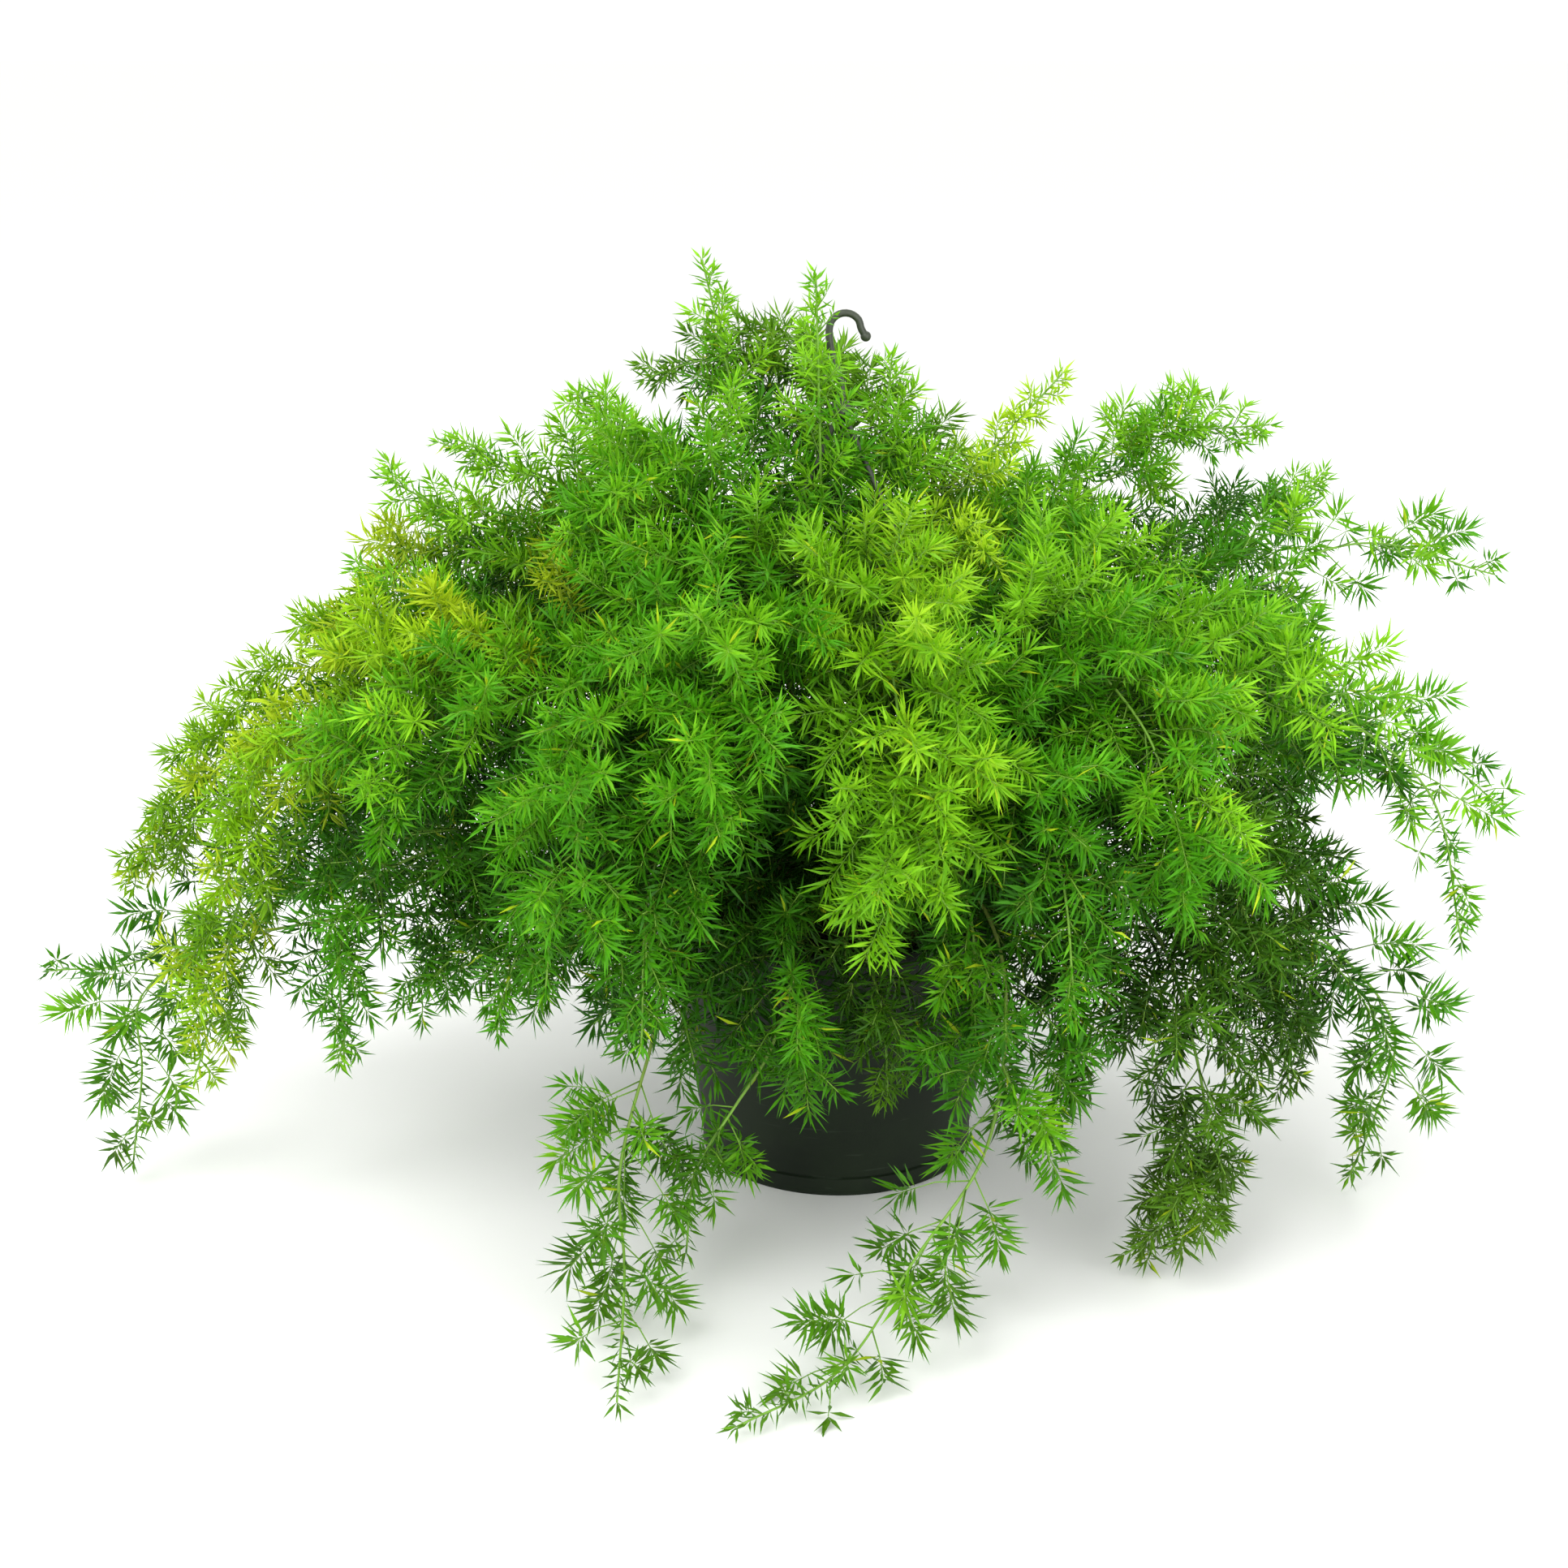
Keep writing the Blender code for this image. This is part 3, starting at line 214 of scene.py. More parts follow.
def smooth_curve(before, points, step):
    """A centripetal Catmull-Rom curve through the points, coming from before, read every step."""
    points = np.asarray(points, float)
    full = np.vstack([before, points, 2 * points[-1] - points[-2]])
    knots = np.concatenate([[0.0], np.cumsum(np.linalg.norm(np.diff(full, axis=0), axis=1) ** 0.5)])
    pieces = []
    for i in range(1, len(full) - 2):
        p, k = full[i - 1:i + 3], knots[i - 1:i + 3]
        t = np.linspace(k[1], k[2], CURVE_READS)[:, None]
        lines = [between(t, k[j], k[j + 1], p[j], p[j + 1]) for j in range(3)]
        arcs = [between(t, k[j], k[j + 2], lines[j], lines[j + 1]) for j in range(2)]
        pieces.append(between(t, k[1], k[2], *arcs))
    return read_every(np.vstack(pieces), step)


# %% Where the hanger runs, because the stems keep clear of it
ARM_BENDS = (0.33, 0.67)
SHANK_SINK = 2.0
SHANK_RISE = 8.0
SHANK_BEND = (-6.0, 0.0, -12.0)
HOOK_STEP = 36
HOOK_END = (2.5, 0.0, -4.0)


def arm_places(azimuth):
    """The bends of one arm: from under the pot's lip, round it and up to the hub."""
    outside = RIM_RADIUS + ARM_GAP + ARM_RADIUS
    under = POT_HEIGHT - LIP_HEIGHT - ARM_GAP - ARM_RADIUS
    shoulder = POT_HEIGHT + ARM_RISE
    hub = HUB_BOTTOM + HUB_HEIGHT / 2
    places = [
        (outside - CLIP_REACH, under),
        (outside - ARM_CORNER, under),
        (outside, under + ARM_CORNER),
        (outside, shoulder),
    ]
    for share in ARM_BENDS:
        radius = outside * (1 - share) + ARM_BOW * math.sin(math.pi * share)
        places.append((radius, shoulder + share * (hub - shoulder)))
    places.append((0.0, hub))
    return np.array([polar(azimuth, radius, height) for radius, height in places])


def hook_places():
    """The bends of the hook: a shank off the hub, then half a round turn and a short end."""
    centre = np.array(HOOK_CENTRE)
    places = [(0.0, 0.0, HUB_BOTTOM + SHANK_SINK), (0.0, 0.0, HUB_BOTTOM + HUB_HEIGHT + SHANK_RISE),
              (SHANK_BEND[0], 0.0, HOOK_CENTRE[2] + SHANK_BEND[2])]
    for angle in range(180, -1, -HOOK_STEP):
        turn = math.radians(angle)
        places.append(centre + HOOK_RADIUS * np.array([math.cos(turn), 0.0, math.sin(turn)]))
    places.append(centre + (HOOK_RADIUS + HOOK_END[0], 0.0, HOOK_END[2]))
    return np.array(places)


print("bends of the hook:", len(hook_places()))


# %% The route of every stem
ROOT_DEPTH = 22.0
ROOT_STAND = 4.0
ROOT_DRAW = 0.7
ROOT_NEAREST = 12.0
ROOT_FURTHEST = 86.0
ROOT_SPACING = 10.0
ROOT_STAGGER = 2.0
SPREAD_ROUNDS = 300
GOLDEN_ANGLE = 137.5
PATH_STEP = 5.0
BACK_TWIST = 3
STEM_SPACING = 5.6
BEND_ROUNDS = 120
BEND_SPREAD = 45.0
BEND_EXTRA = 0.4
LEAST_WEIGHT = 0.2
STIFF_FOOT = 30.0


def frond_table():
    """Every frond's name, colour and places: the seen ones, then the back ones by their rule."""
    table = [(name, colour, points) for name, (colour, points) in FRONDS.items()]
    for tier, colour, azimuths, profile in BACK_TIERS:
        for number, azimuth in enumerate(azimuths):
            vary = BACK_VARIATION[number]
            points = [polar(azimuth + BACK_TWIST * step, radius * vary, height / vary ** 0.5)
                      for step, (radius, height) in enumerate(profile)]
            table.append((f"{tier}_{number + 1}", colour, points))
    return table


def root_spots(table):
    """Where each stem stands in the soil: under its first place, drawn in, then spread apart."""
    first = np.array([points[0][:2] for _, _, points in table], float)
    radius = np.linalg.norm(first, axis=1, keepdims=True)
    spots = first / radius * np.clip(radius * ROOT_DRAW, ROOT_NEAREST, ROOT_FURTHEST)
    stagger = [polar(GOLDEN_ANGLE * index, 1.0, 0.0)[:2] for index in range(len(spots))]
    spots += ROOT_STAGGER * np.array(stagger)
    for _ in range(SPREAD_ROUNDS):
        apart = spots[:, None] - spots[None]
        distance = np.linalg.norm(apart, axis=-1) + 10 * ROOT_SPACING * np.eye(len(spots))
        push = np.maximum(ROOT_SPACING - distance, 0.0) / 2
        spots = spots + (apart / distance[..., None] * push[..., None]).sum(axis=1)
        radius = np.linalg.norm(spots, axis=1, keepdims=True)
        spots = spots * np.minimum(1.0, ROOT_FURTHEST / radius)
    return spots


def bend_clear(path, others):
    """A stem's path, moved smoothly aside where it comes too near to what is already there."""
    for _ in range(BEND_ROUNDS):
        distance = np.linalg.norm(path[:, None] - others[None], axis=-1)
        distance[0] = STEM_SPACING
        here, there = np.unravel_index(distance.argmin(), distance.shape)
        if distance[here, there] >= STEM_SPACING:
            break
        along = lengths_along(path)
        gap = path[here] - others[there]
        weight = np.exp(-((along - along[here]) / BEND_SPREAD) ** 2) * np.minimum(along / STIFF_FOOT, 1.0)
        move = STEM_SPACING - distance[here, there] + BEND_EXTRA
        path = path + (weight * move / max(weight[here], LEAST_WEIGHT))[:, None] * gap / np.linalg.norm(gap)
    return path


table = frond_table()
hanger_places = [*map(arm_places, ARM_AZIMUTHS), hook_places()]
others = np.vstack([read_every(places, PATH_STEP) for places in hanger_places])
stems = []
for (name, colour, points), (x, y) in zip(table, root_spots(table)):
    mouth = (x, y, SOIL_TOP + ROOT_STAND)
    path = smooth_curve((x, y, SOIL_TOP - ROOT_DEPTH), [mouth, *points], PATH_STEP)
    path = read_every(bend_clear(path, others), PATH_STEP)
    others = np.vstack([others, path])
    stems.append((name, colour, path))
metres = MM * sum(lengths_along(path)[-1] for _, _, path in stems)
print("stems:", len(stems), " metres of stem:", round(metres, 1))

# %% [markdown]
# ## What the foliage has to keep clear of
#
# Needles may cross each other, as they do on the plant, but one that pokes through the pot, the
# soil or the floor looks wrong at once. A distance rule for each of them is enough, since the pot
# is a cone and the floor is flat. Foliage also stays inside the box of the solids, give or take a
# few millimetres.

# %% The room around a point
OVER_BOX = 6.0
LOW = np.array(cad_box[0]) / MM - OVER_BOX
HIGH = np.array(cad_box[1]) / MM + OVER_BOX
FLOOR_ROOM = 0.8
POT_ROOM = 0.3
LIP_ROOM = 2.0
HOOK_ROOM = 30.0
HOOK_ROOM_FOOT = 486.0
HOOK_ROOM_CENTRE = (20.0, -8.0)


def wall_radius(height):
    return BASE_RADIUS + (SHOULDER_RADIUS - BASE_RADIUS) * height / (POT_HEIGHT - LIP_HEIGHT)


def pot_room(points):
    """How far points are from the pot and the soil: below 0 is inside one of them."""
    radius = np.hypot(points[..., 0], points[..., 1])
    height = points[..., 2]
    inner = wall_radius(height) - WALL
    under_lip = height <= POT_HEIGHT - LIP_HEIGHT - LIP_ROOM
    outer = np.where(under_lip, wall_radius(height) + BAND_STAND, RIM_RADIUS)
    inside = np.minimum(inner - radius, height - SOIL_TOP)
    above = height - np.where(radius < inner, SOIL_TOP, POT_HEIGHT)
    return np.maximum(np.maximum(radius - outer, inside), above)


def has_room(points):
    """Whether points are clear of the pot, the floor, the hook and the sides of the box."""
    in_box = (points > LOW).all(axis=-1) & (points < HIGH).all(axis=-1)
    from_hook = np.linalg.norm(points[..., :2] - np.array(HOOK_ROOM_CENTRE), axis=-1)
    at_hook = (from_hook < HOOK_ROOM) & (points[..., 2] > HOOK_ROOM_FOOT)
    return in_box & ~at_hook & (pot_room(points) > POT_ROOM) & (points[..., 2] > FLOOR_ROOM)


print("foliage may reach, in mm:", LOW.round(), "to", HIGH.round())

# %% [markdown]
# ## A tube and a needle
#
# Two shapes make the whole plant. A stem or a stalk is a thin tube that tapers. A needle is a flat
# leaf-like twig, widest before its middle and pointed at both ends, with a low ridge along its
# upper side. Leaves are often made as flat cards, but a card has no thickness and vanishes edge
# on, so each needle here is a closed body of four faces. Copies are laid out with array sums,
# because more than a hundred thousand objects would be too slow.

# %% Rings of corners that become tubes
TINY = 1e-9
NEARLY_UPRIGHT = 0.8


def unit(vectors):
    return vectors / np.maximum(np.linalg.norm(vectors, axis=-1, keepdims=True), TINY)


def around(axis, turn):
    """The sideways direction at an angle round each axis."""
    helper = np.where(np.abs(axis[..., 2:3]) < NEARLY_UPRIGHT, [0.0, 0.0, 1.0], [0.0, 1.0, 0.0])
    across = unit(np.cross(axis, helper))
    return np.cos(turn)[..., None] * across + np.sin(turn)[..., None] * np.cross(axis, across)


def tubes(centres, radii, sides):
    """Closed tubes through rows of centres (count, rings, 3). Gives corners and triangles."""
    count, rings = centres.shape[:2]
    ahead = unit(np.gradient(centres, axis=1))
    turn = np.broadcast_to(np.arange(sides) * 2 * math.pi / sides, (count, rings, sides))
    corners = centres[:, :, None] + radii[:, :, None, None] * around(ahead[:, :, None], turn)
    low = np.arange(rings - 1)[:, None] * sides + np.arange(sides)
    nxt = np.arange(rings - 1)[:, None] * sides + (np.arange(sides) + 1) % sides
    halves = [np.stack([low, nxt, nxt + sides], -1), np.stack([low, nxt + sides, low + sides], -1)]
    fan = np.array([(0, i + 1, i) for i in range(1, sides - 1)])
    top = fan[:, ::-1] + (rings - 1) * sides
    pattern = np.vstack([np.stack(halves, -2).reshape(-1, 3), fan, top])
    triangles = pattern[None] + (np.arange(count) * rings * sides)[:, None, None]
    return corners.reshape(-1, 3), triangles.reshape(-1, 3)


# %% The needle's own shape
NEEDLE_WIDTH = 1.7
NEEDLE_DEPTH = 0.7
WIDEST = 0.42
NEEDLE_PLACES = np.array([0.0, WIDEST, WIDEST, 1.0])
NEEDLE_FACES = np.array([(0, 2, 1), (3, 1, 2), (0, 1, 3), (0, 3, 2)])


def needle_bodies(base, way, face, reach, curl, width):
    """Closed needles from their foot, direction, upper side, length, curl and width."""
    side = np.cross(way, face) * width[:, None] / 2
    tip = base + reach[:, None] * (way + curl[:, None] * face)
    middle = base + (WIDEST * reach)[:, None] * way - NEEDLE_DEPTH * face
    corners = np.stack([base, middle + side, middle - side, tip], axis=1)
    triangles = NEEDLE_FACES[None] + (np.arange(len(base)) * corners.shape[1])[:, None, None]
    return corners.reshape(-1, 3), triangles.reshape(-1, 3)


print("triangles in one needle:", len(NEEDLE_FACES))

# %% [markdown]
# ## How the sprays grow
#
# On the plant every stem bears side sprays: thin stalks, bare at the foot, that carry whorls of
# needles and shorter shoots of their own. Sprays go where there is light and room, so the plant
# fills its outline evenly while the heart of the crown stays bare. The same is had here by drawing
# far more sprays than are needed and keeping those that aren't too near to one already kept. A
# fixed pitch along each stem would crowd the middle and starve the outside. Sprays get shorter
# towards a stem's tip, which is slim, tapered or blunt, and the stems that trail or reach out are
# looser plumes, with the bare stretches that the photograph shows.

# %% Bends that leave an axis
LIFT = np.array([0.0, 0.0, 0.12])
SAG = np.array([0.0, 0.0, -0.3])
FORWARD = 0.4


def bends_from(foot, along, turn, lean, reach):
    """Quadratic bends (count, 3, 3) that leave an axis at an angle, turn forward and sag."""
    start = unit(np.cos(lean)[:, None] * along + np.sin(lean)[:, None] * around(along, turn) + LIFT)
    finish = unit(start + FORWARD * along + SAG)
    middle = foot + reach[:, None] / 2 * start
    return np.stack([foot, middle, middle + reach[:, None] / 2 * finish], axis=1)


def on_bends(bends, share):
    """Points and directions on bends, each at a share of its length."""
    foot, middle, end = bends[:, 0], bends[:, 1], bends[:, 2]
    t = np.broadcast_to(share, len(bends))[:, None]
    points = (1 - t) ** 2 * foot + 2 * t * (1 - t) * middle + t ** 2 * end
    return points, unit((1 - t) * (middle - foot) + t * (end - middle))


def reach_of(bends):
    return 2 * np.linalg.norm(bends[:, 1] - bends[:, 0], axis=1)


# %% Choose the sprays of the whole plant
CHOICE_PITCH = 1.6
FIRST_SPRAY = 0.1
LAST_SPRAY = 0.985
WIDE_REACH = 96.0
NARROW_REACH = 38.0
CROWN_EDGE = 160.0
PLUME_START = 330.0
TAPERED = (11.0, 0.4)
BLUNT = (42.0, 0.6)
SLIM = (8.0, 0.24)
TIPS = {"dome_front_left": TAPERED, "dome_front_right": TAPERED, "dome_front": BLUNT,
        "dome_right_middle": BLUNT, "dome_left_high": BLUNT, "dome_left_middle": BLUNT,
        "lime_left": BLUNT, "crest_left": SLIM, "crest_middle": SLIM, "lime_spire": SLIM,
        "dome_left_low": SLIM, "back_dome": SLIM}
SHORTEST_DRAW = 0.55
SPRAY_LEANS = (38.0, 72.0)
NEAR_SPACING = 8.0
SPACING_GROWTH = 0.22
PLUME_SPACING = 21.0
PLUME_REACH = 44.0
PLUMES = ("trail", "low", "reach", "hang_right", "arch_right", "long_right", "drape_left")
TUFT_PLACE = 0.65
AHEAD = 3.0
QUARTERS = (0.25, 0.5, 0.75, 1.0)
HEART = np.array([0.0, 15.0, 250.0])
HEART_REACH = np.array([62.0, 55.0, 85.0])
BARE_STRETCHES = {"trail_left": (0.4, 0.5), "trail_front": (0.56, 0.63), "drape_left": (0.56, 0.7),
                  "low_left": (0.36, 0.7), "reach_left": (0.89, 0.96)}


def by_start(choices, name, otherwise):
    """The entry whose key starts the name, or what is taken otherwise."""
    return next((choice for start, choice in choices.items() if name.startswith(start)), otherwise)


def spray_choices(name, path, draw):
    """Bends that sprays of one stem could follow, and how far out in a loose plume each one is."""
    total = lengths_along(path)[-1]
    place = total * draw.uniform(FIRST_SPRAY, LAST_SPRAY, round(total / CHOICE_PITCH))
    bare_from, bare_to = BARE_STRETCHES.get(name, (0.0, 0.0))
    place = place[(place < bare_from * total) | (place > bare_to * total)]
    count = len(place)
    foot = points_at(path, place)
    along = unit(points_at(path, np.minimum(place + AHEAD, total)) - points_at(path, place - AHEAD))
    away = np.linalg.norm(foot - HEART, axis=1)
    far_reach = PLUME_REACH if name.startswith(PLUMES) else NARROW_REACH
    reach = np.interp(away, (CROWN_EDGE, PLUME_START), (WIDE_REACH, far_reach))
    at_tip, growth = by_start(TIPS, name, TAPERED)
    reach = np.minimum(reach, at_tip + growth * (total - place))
    reach = reach * draw.uniform(SHORTEST_DRAW, 1.0, count)
    loose = np.interp(away, (CROWN_EDGE, PLUME_START), (0.0, 1.0)) * name.startswith(PLUMES)
    lean = np.radians(draw.uniform(*SPRAY_LEANS, count))
    made = bends_from(foot, along, draw.uniform(0, 2 * math.pi, count), lean, reach)
    clear = np.all([has_room(on_bends(made, share)[0]) for share in QUARTERS], axis=0)
    tuft = on_bends(made, TUFT_PLACE)[0]
    lit = (((tuft - HEART) / HEART_REACH) ** 2).sum(axis=1) > 1.0
    return made[clear & lit], loose[clear & lit]


# %% Keep the sprays that have room
draw = np.random.default_rng(SEED)
choices = [spray_choices(name, path, draw) for name, _, path in stems]
owner = np.repeat(np.arange(len(stems)), [len(made) for made, _ in choices])
bends, loose = (np.concatenate(column) for column in zip(*choices))
tufts = on_bends(bends, TUFT_PLACE)[0]
spacing = (1.0 - loose) * (NEAR_SPACING + SPACING_GROWTH * reach_of(bends)) + loose * PLUME_SPACING
kept = []
for index in draw.permutation(len(bends)):
    if (np.linalg.norm(tufts[kept] - tufts[index], axis=1) > spacing[index]).all():
        kept.append(index)
print("sprays drawn:", len(bends), " sprays kept:", len(kept))
owner, bends, loose, tufts = owner[kept], bends[kept], loose[kept], tufts[kept]

# %% [markdown]
# ## Light and shade in the crown
#
# Needles deep in a bush get little light, and are fewer and darker there. A dark middle could be
# painted by distance from the centre, but it would be wrong under an arching stem. So each spray's
# shade comes from its neighbours: one with many on every side is deep in the crown, and one with
# open air at a side or above it is lit.

# %% How deep in the shade each spray is
NEIGHBOURHOOD = 90.0
FULL_CROWD = 95.0
OPEN_SIDE = 0.62
OPEN_ABOVE = 2.0


def shade_of(points):
    """0 for a tuft with open air on one side, up to 1 for one with many tufts on every side."""
    apart = points[None] - points[:, None]
    distance = np.linalg.norm(apart, axis=-1)
    near = (distance < NEIGHBOURHOOD) & (distance > 0.0)
    crowd = near.sum(axis=1)
    ways = apart / np.maximum(distance, TINY)[..., None] * near[..., None]
    middle = ways.sum(axis=1) / np.maximum(crowd, 1)[:, None]
    middle[:, 2] *= np.where(middle[:, 2] < 0.0, OPEN_ABOVE, 1.0)
    one_sided = np.linalg.norm(middle, axis=1)
    return np.clip(crowd / FULL_CROWD, 0.0, 1.0) * np.clip(1.0 - one_sided / OPEN_SIDE, 0.0, 1.0)


shades = shade_of(tufts)
print("mean shade:", round(float(shades.mean()), 2))
print("shade at the 10th, 50th and 90th hundredth:", np.quantile(shades, (0.1, 0.5, 0.9)).round(2))

# %% [markdown]
# ## Shoots and needles
#
# A long spray that gets light bears two shorter shoots. Needles stand in whorls round every
# stalk, square to it near its foot and leaning forward towards its tip, where a few make a star.
# Drawing each one's turn, lean and length keeps the whorls from looking stamped. A needle that
# would reach into the floor is lifted, and one that would reach into the pot is left out.

# %% Shorter shoots on the longer sprays
BRANCHING = 30.0
TOO_SHADED = 0.65
TOO_LOOSE = 0.6
SHOOT_PLACES = np.array([0.4, 0.66])
SHOOT_SHIFT = 0.07
SHOOT_SIDES = np.array([0.0, 2.6])
SHOOT_LEANS = (40, 64)
SHOOT_REACH = (0.7, 1.2)
LONGEST_SHOOT = 34.0
SHORTEST_SHOOT = 13.0
SHOOT_MIDDLE = 0.6


def side_shoots(sprays, shade, loose, draw):
    """Bends of the shoots, and the spray that each one grows on."""
    branched = (reach_of(sprays) > BRANCHING) & (shade < TOO_SHADED) & (loose < TOO_LOOSE)
    number = np.repeat(np.flatnonzero(branched), len(SHOOT_PLACES))
    rounds = len(number) // len(SHOOT_PLACES)
    place = np.tile(SHOOT_PLACES, rounds) + draw.uniform(-SHOOT_SHIFT, SHOOT_SHIFT, len(number))
    first_turn = np.repeat(draw.uniform(0, 2 * math.pi, rounds), len(SHOOT_PLACES))
    foot, along = on_bends(sprays[number], place)
    beyond = reach_of(sprays)[number] * (1.0 - place)
    reach = np.clip(beyond * draw.uniform(*SHOOT_REACH, len(number)), SHORTEST_SHOOT, LONGEST_SHOOT)
    lean = np.radians(draw.uniform(*SHOOT_LEANS, len(number)))
    shoots = bends_from(foot, along, np.tile(SHOOT_SIDES, rounds) + first_turn, lean, reach)
    clear = has_room(on_bends(shoots, SHOOT_MIDDLE)[0]) & has_room(shoots[:, 2])
    return shoots[clear], number[clear]


print("shoots on the whole plant, at most:", len(SHOOT_PLACES) * len(bends))

# %% Where needles stand on a spray
OPEN_PITCH = 2.3
SHADED_PITCH = 4.2
LOOSE_PITCH = -0.5
WHORL_NEEDLES = 4
WHORL_TURN = 0.8
TURN_SPREAD = 0.4
BARE_SHARE = 0.34
LOOSE_BARE_SHARE = 0.72
BARE_SPREAD = (0.6, 1.3)
FOOT_LEAN = 80.0
TIP_LEAN = 54.0
END_LEANS = np.radians([8.0, 32.0, 46.0, 38.0, 52.0])
END_TURN = 2.1


def lean_at(share):
    """How far a needle leans off its stalk, at a share of the leafy part."""
    return np.radians(FOOT_LEAN + (TIP_LEAN - FOOT_LEAN) * share)


def whorls(bends, shade, loose, draw):
    """Needles of many bends: each one's bend, its share of it, its lean and its turn."""
    first = BARE_SHARE + (LOOSE_BARE_SHARE - BARE_SHARE) * loose
    first = first * draw.uniform(*BARE_SPREAD, len(bends))
    pitch = OPEN_PITCH + (SHADED_PITCH - OPEN_PITCH) * shade + LOOSE_PITCH * loose
    count = np.maximum(np.round((1.0 - first) * reach_of(bends) / pitch).astype(int), 1)
    number = np.repeat(np.arange(len(bends)), count)
    rank = np.arange(count.sum()) - np.repeat(np.cumsum(count) - count, count)
    along = rank / count[number]
    number, rank, along = (np.repeat(column, WHORL_NEEDLES) for column in (number, rank, along))
    share = first[number] + (1.0 - first[number]) * along
    turn = np.arange(len(number)) % WHORL_NEEDLES * 2 * math.pi / WHORL_NEEDLES + rank * WHORL_TURN
    turn = turn + draw.uniform(-TURN_SPREAD, TURN_SPREAD, len(number))
    ends = np.repeat(np.arange(len(bends)), len(END_LEANS))
    end_turn = np.tile(np.arange(len(END_LEANS)) * END_TURN, len(bends))
    end_turn = end_turn + draw.uniform(0, 2 * math.pi, len(ends))
    return (np.append(number, ends), np.append(share, np.ones(len(ends))),
            np.append(lean_at(along), np.tile(END_LEANS, len(bends))), np.append(turn, end_turn))


# %% Needles along the sprays, along the stem and at its tip
NEEDLE_LENGTH = 17.0
LOOSE_LENGTH = 0.12
LENGTH_SPREAD = (0.72, 1.1)
SHORT_SPRAY = 0.5
FULL_SPRAY = 70.0
LEAN_SPREAD = 0.14
CURL = (0.03, 0.06)
CURL_LIMITS = (-0.03, 0.2)
LOWEST_TIP = FLOOR_ROOM + 0.4
STEM_PITCH = 4.0
STEM_WHORL = 3
STEM_TURN = 2.3
LEAFY_TIP = 80.0
STEM_NEEDLE_SHARE = 0.65


def needles_round(base, axis, lean, turn, reach, draw):
    """Needles that lean off an axis, kept only where there is room for them."""
    lean = lean + draw.normal(0.0, LEAN_SPREAD, len(lean))
    way = np.cos(lean)[:, None] * axis + np.sin(lean)[:, None] * around(axis, turn)
    low = base[:, 2] + reach * way[:, 2] < LOWEST_TIP
    lift = np.where(low, (LOWEST_TIP - base[:, 2]) / reach, way[:, 2])
    way = unit(np.column_stack([way[:, :2], np.maximum(way[:, 2], lift)]))
    face = around(way, draw.uniform(0, 2 * math.pi, len(reach)))
    curl = np.clip(draw.normal(*CURL, len(reach)), *CURL_LIMITS)
    kept = has_room(base + reach[:, None] * way) & has_room(base + 0.5 * reach[:, None] * way)
    return kept, base, way, face, reach, curl


def spray_needles(bends, shade, loose, draw):
    """The spray that each needle grows on, and the needles."""
    number, share, lean, turn = whorls(bends, shade, loose, draw)
    base, axis = on_bends(bends[number], share)
    of_spray = np.minimum(1.0, SHORT_SPRAY + reach_of(bends)[number] / FULL_SPRAY)
    size = draw.uniform(*LENGTH_SPREAD, len(number)) * of_spray * (1.0 + LOOSE_LENGTH * loose[number])
    return number, needles_round(base, axis, lean, turn, NEEDLE_LENGTH * size, draw)


def stem_needles(path, draw):
    """Needles that grow straight from the end of a stem, and a star of them at its tip."""
    total = lengths_along(path)[-1]
    places = np.arange(total - LEAFY_TIP, total - 1.0, STEM_PITCH)
    near_tip = 1.0 - (total - places) / LEAFY_TIP
    lean = np.append(np.repeat(lean_at(near_tip), STEM_WHORL), END_LEANS)
    places = np.append(np.repeat(places, STEM_WHORL), np.full(len(END_LEANS), total))
    base = points_at(path, places)
    axis = unit(base - points_at(path, places - 2.0))
    reach = STEM_NEEDLE_SHARE * NEEDLE_LENGTH * draw.uniform(0.8, 1.1, len(places))
    turn = np.arange(len(places)) * STEM_TURN
    return places / total, needles_round(base, axis, lean, turn, reach, draw)


print("longest needle in mm:", round(NEEDLE_LENGTH * LENGTH_SPREAD[1] * (1.0 + LOOSE_LENGTH), 1))

# %% [markdown]
# ## From arrays to a mesh
#
# Each frond is one mesh with two materials: needles, and stem with stalks. A mesh could be made
# face by face, but arrays that are handed over whole take a fraction of the time. A colour
# attribute called growth carries what the materials vary by: a draw for each needle, a draw for
# each shoot, the place along the needle and the shade. On the stem its last value is how young it
# is, and on the stalks it is how lit they are, so that stalks in the shade are painted browner and
# darker.

# %% A mesh from arrays, and the parts that fill them
LOOSE_BREADTH = 0.3


def mesh_from(name, corners, triangles, growth, material_of, smooth):
    mesh = bpy.data.meshes.new(name)
    mesh.vertices.add(len(corners))
    mesh.loops.add(3 * len(triangles))
    mesh.polygons.add(len(triangles))
    mesh.vertices.foreach_set("co", (corners * MM).astype(np.float32).ravel())
    mesh.loops.foreach_set("vertex_index", triangles.astype(np.int32).ravel())
    mesh.polygons.foreach_set("loop_start", np.arange(0, 3 * len(triangles), 3, dtype=np.int32))
    mesh.polygons.foreach_set("material_index", material_of.astype(np.int32))
    mesh.polygons.foreach_set("use_smooth", smooth)
    mesh.update(calc_edges=True)
    layer = mesh.color_attributes.new("growth", "FLOAT_COLOR", "POINT")
    layer.data.foreach_set("color", growth.astype(np.float32).ravel())
    return mesh


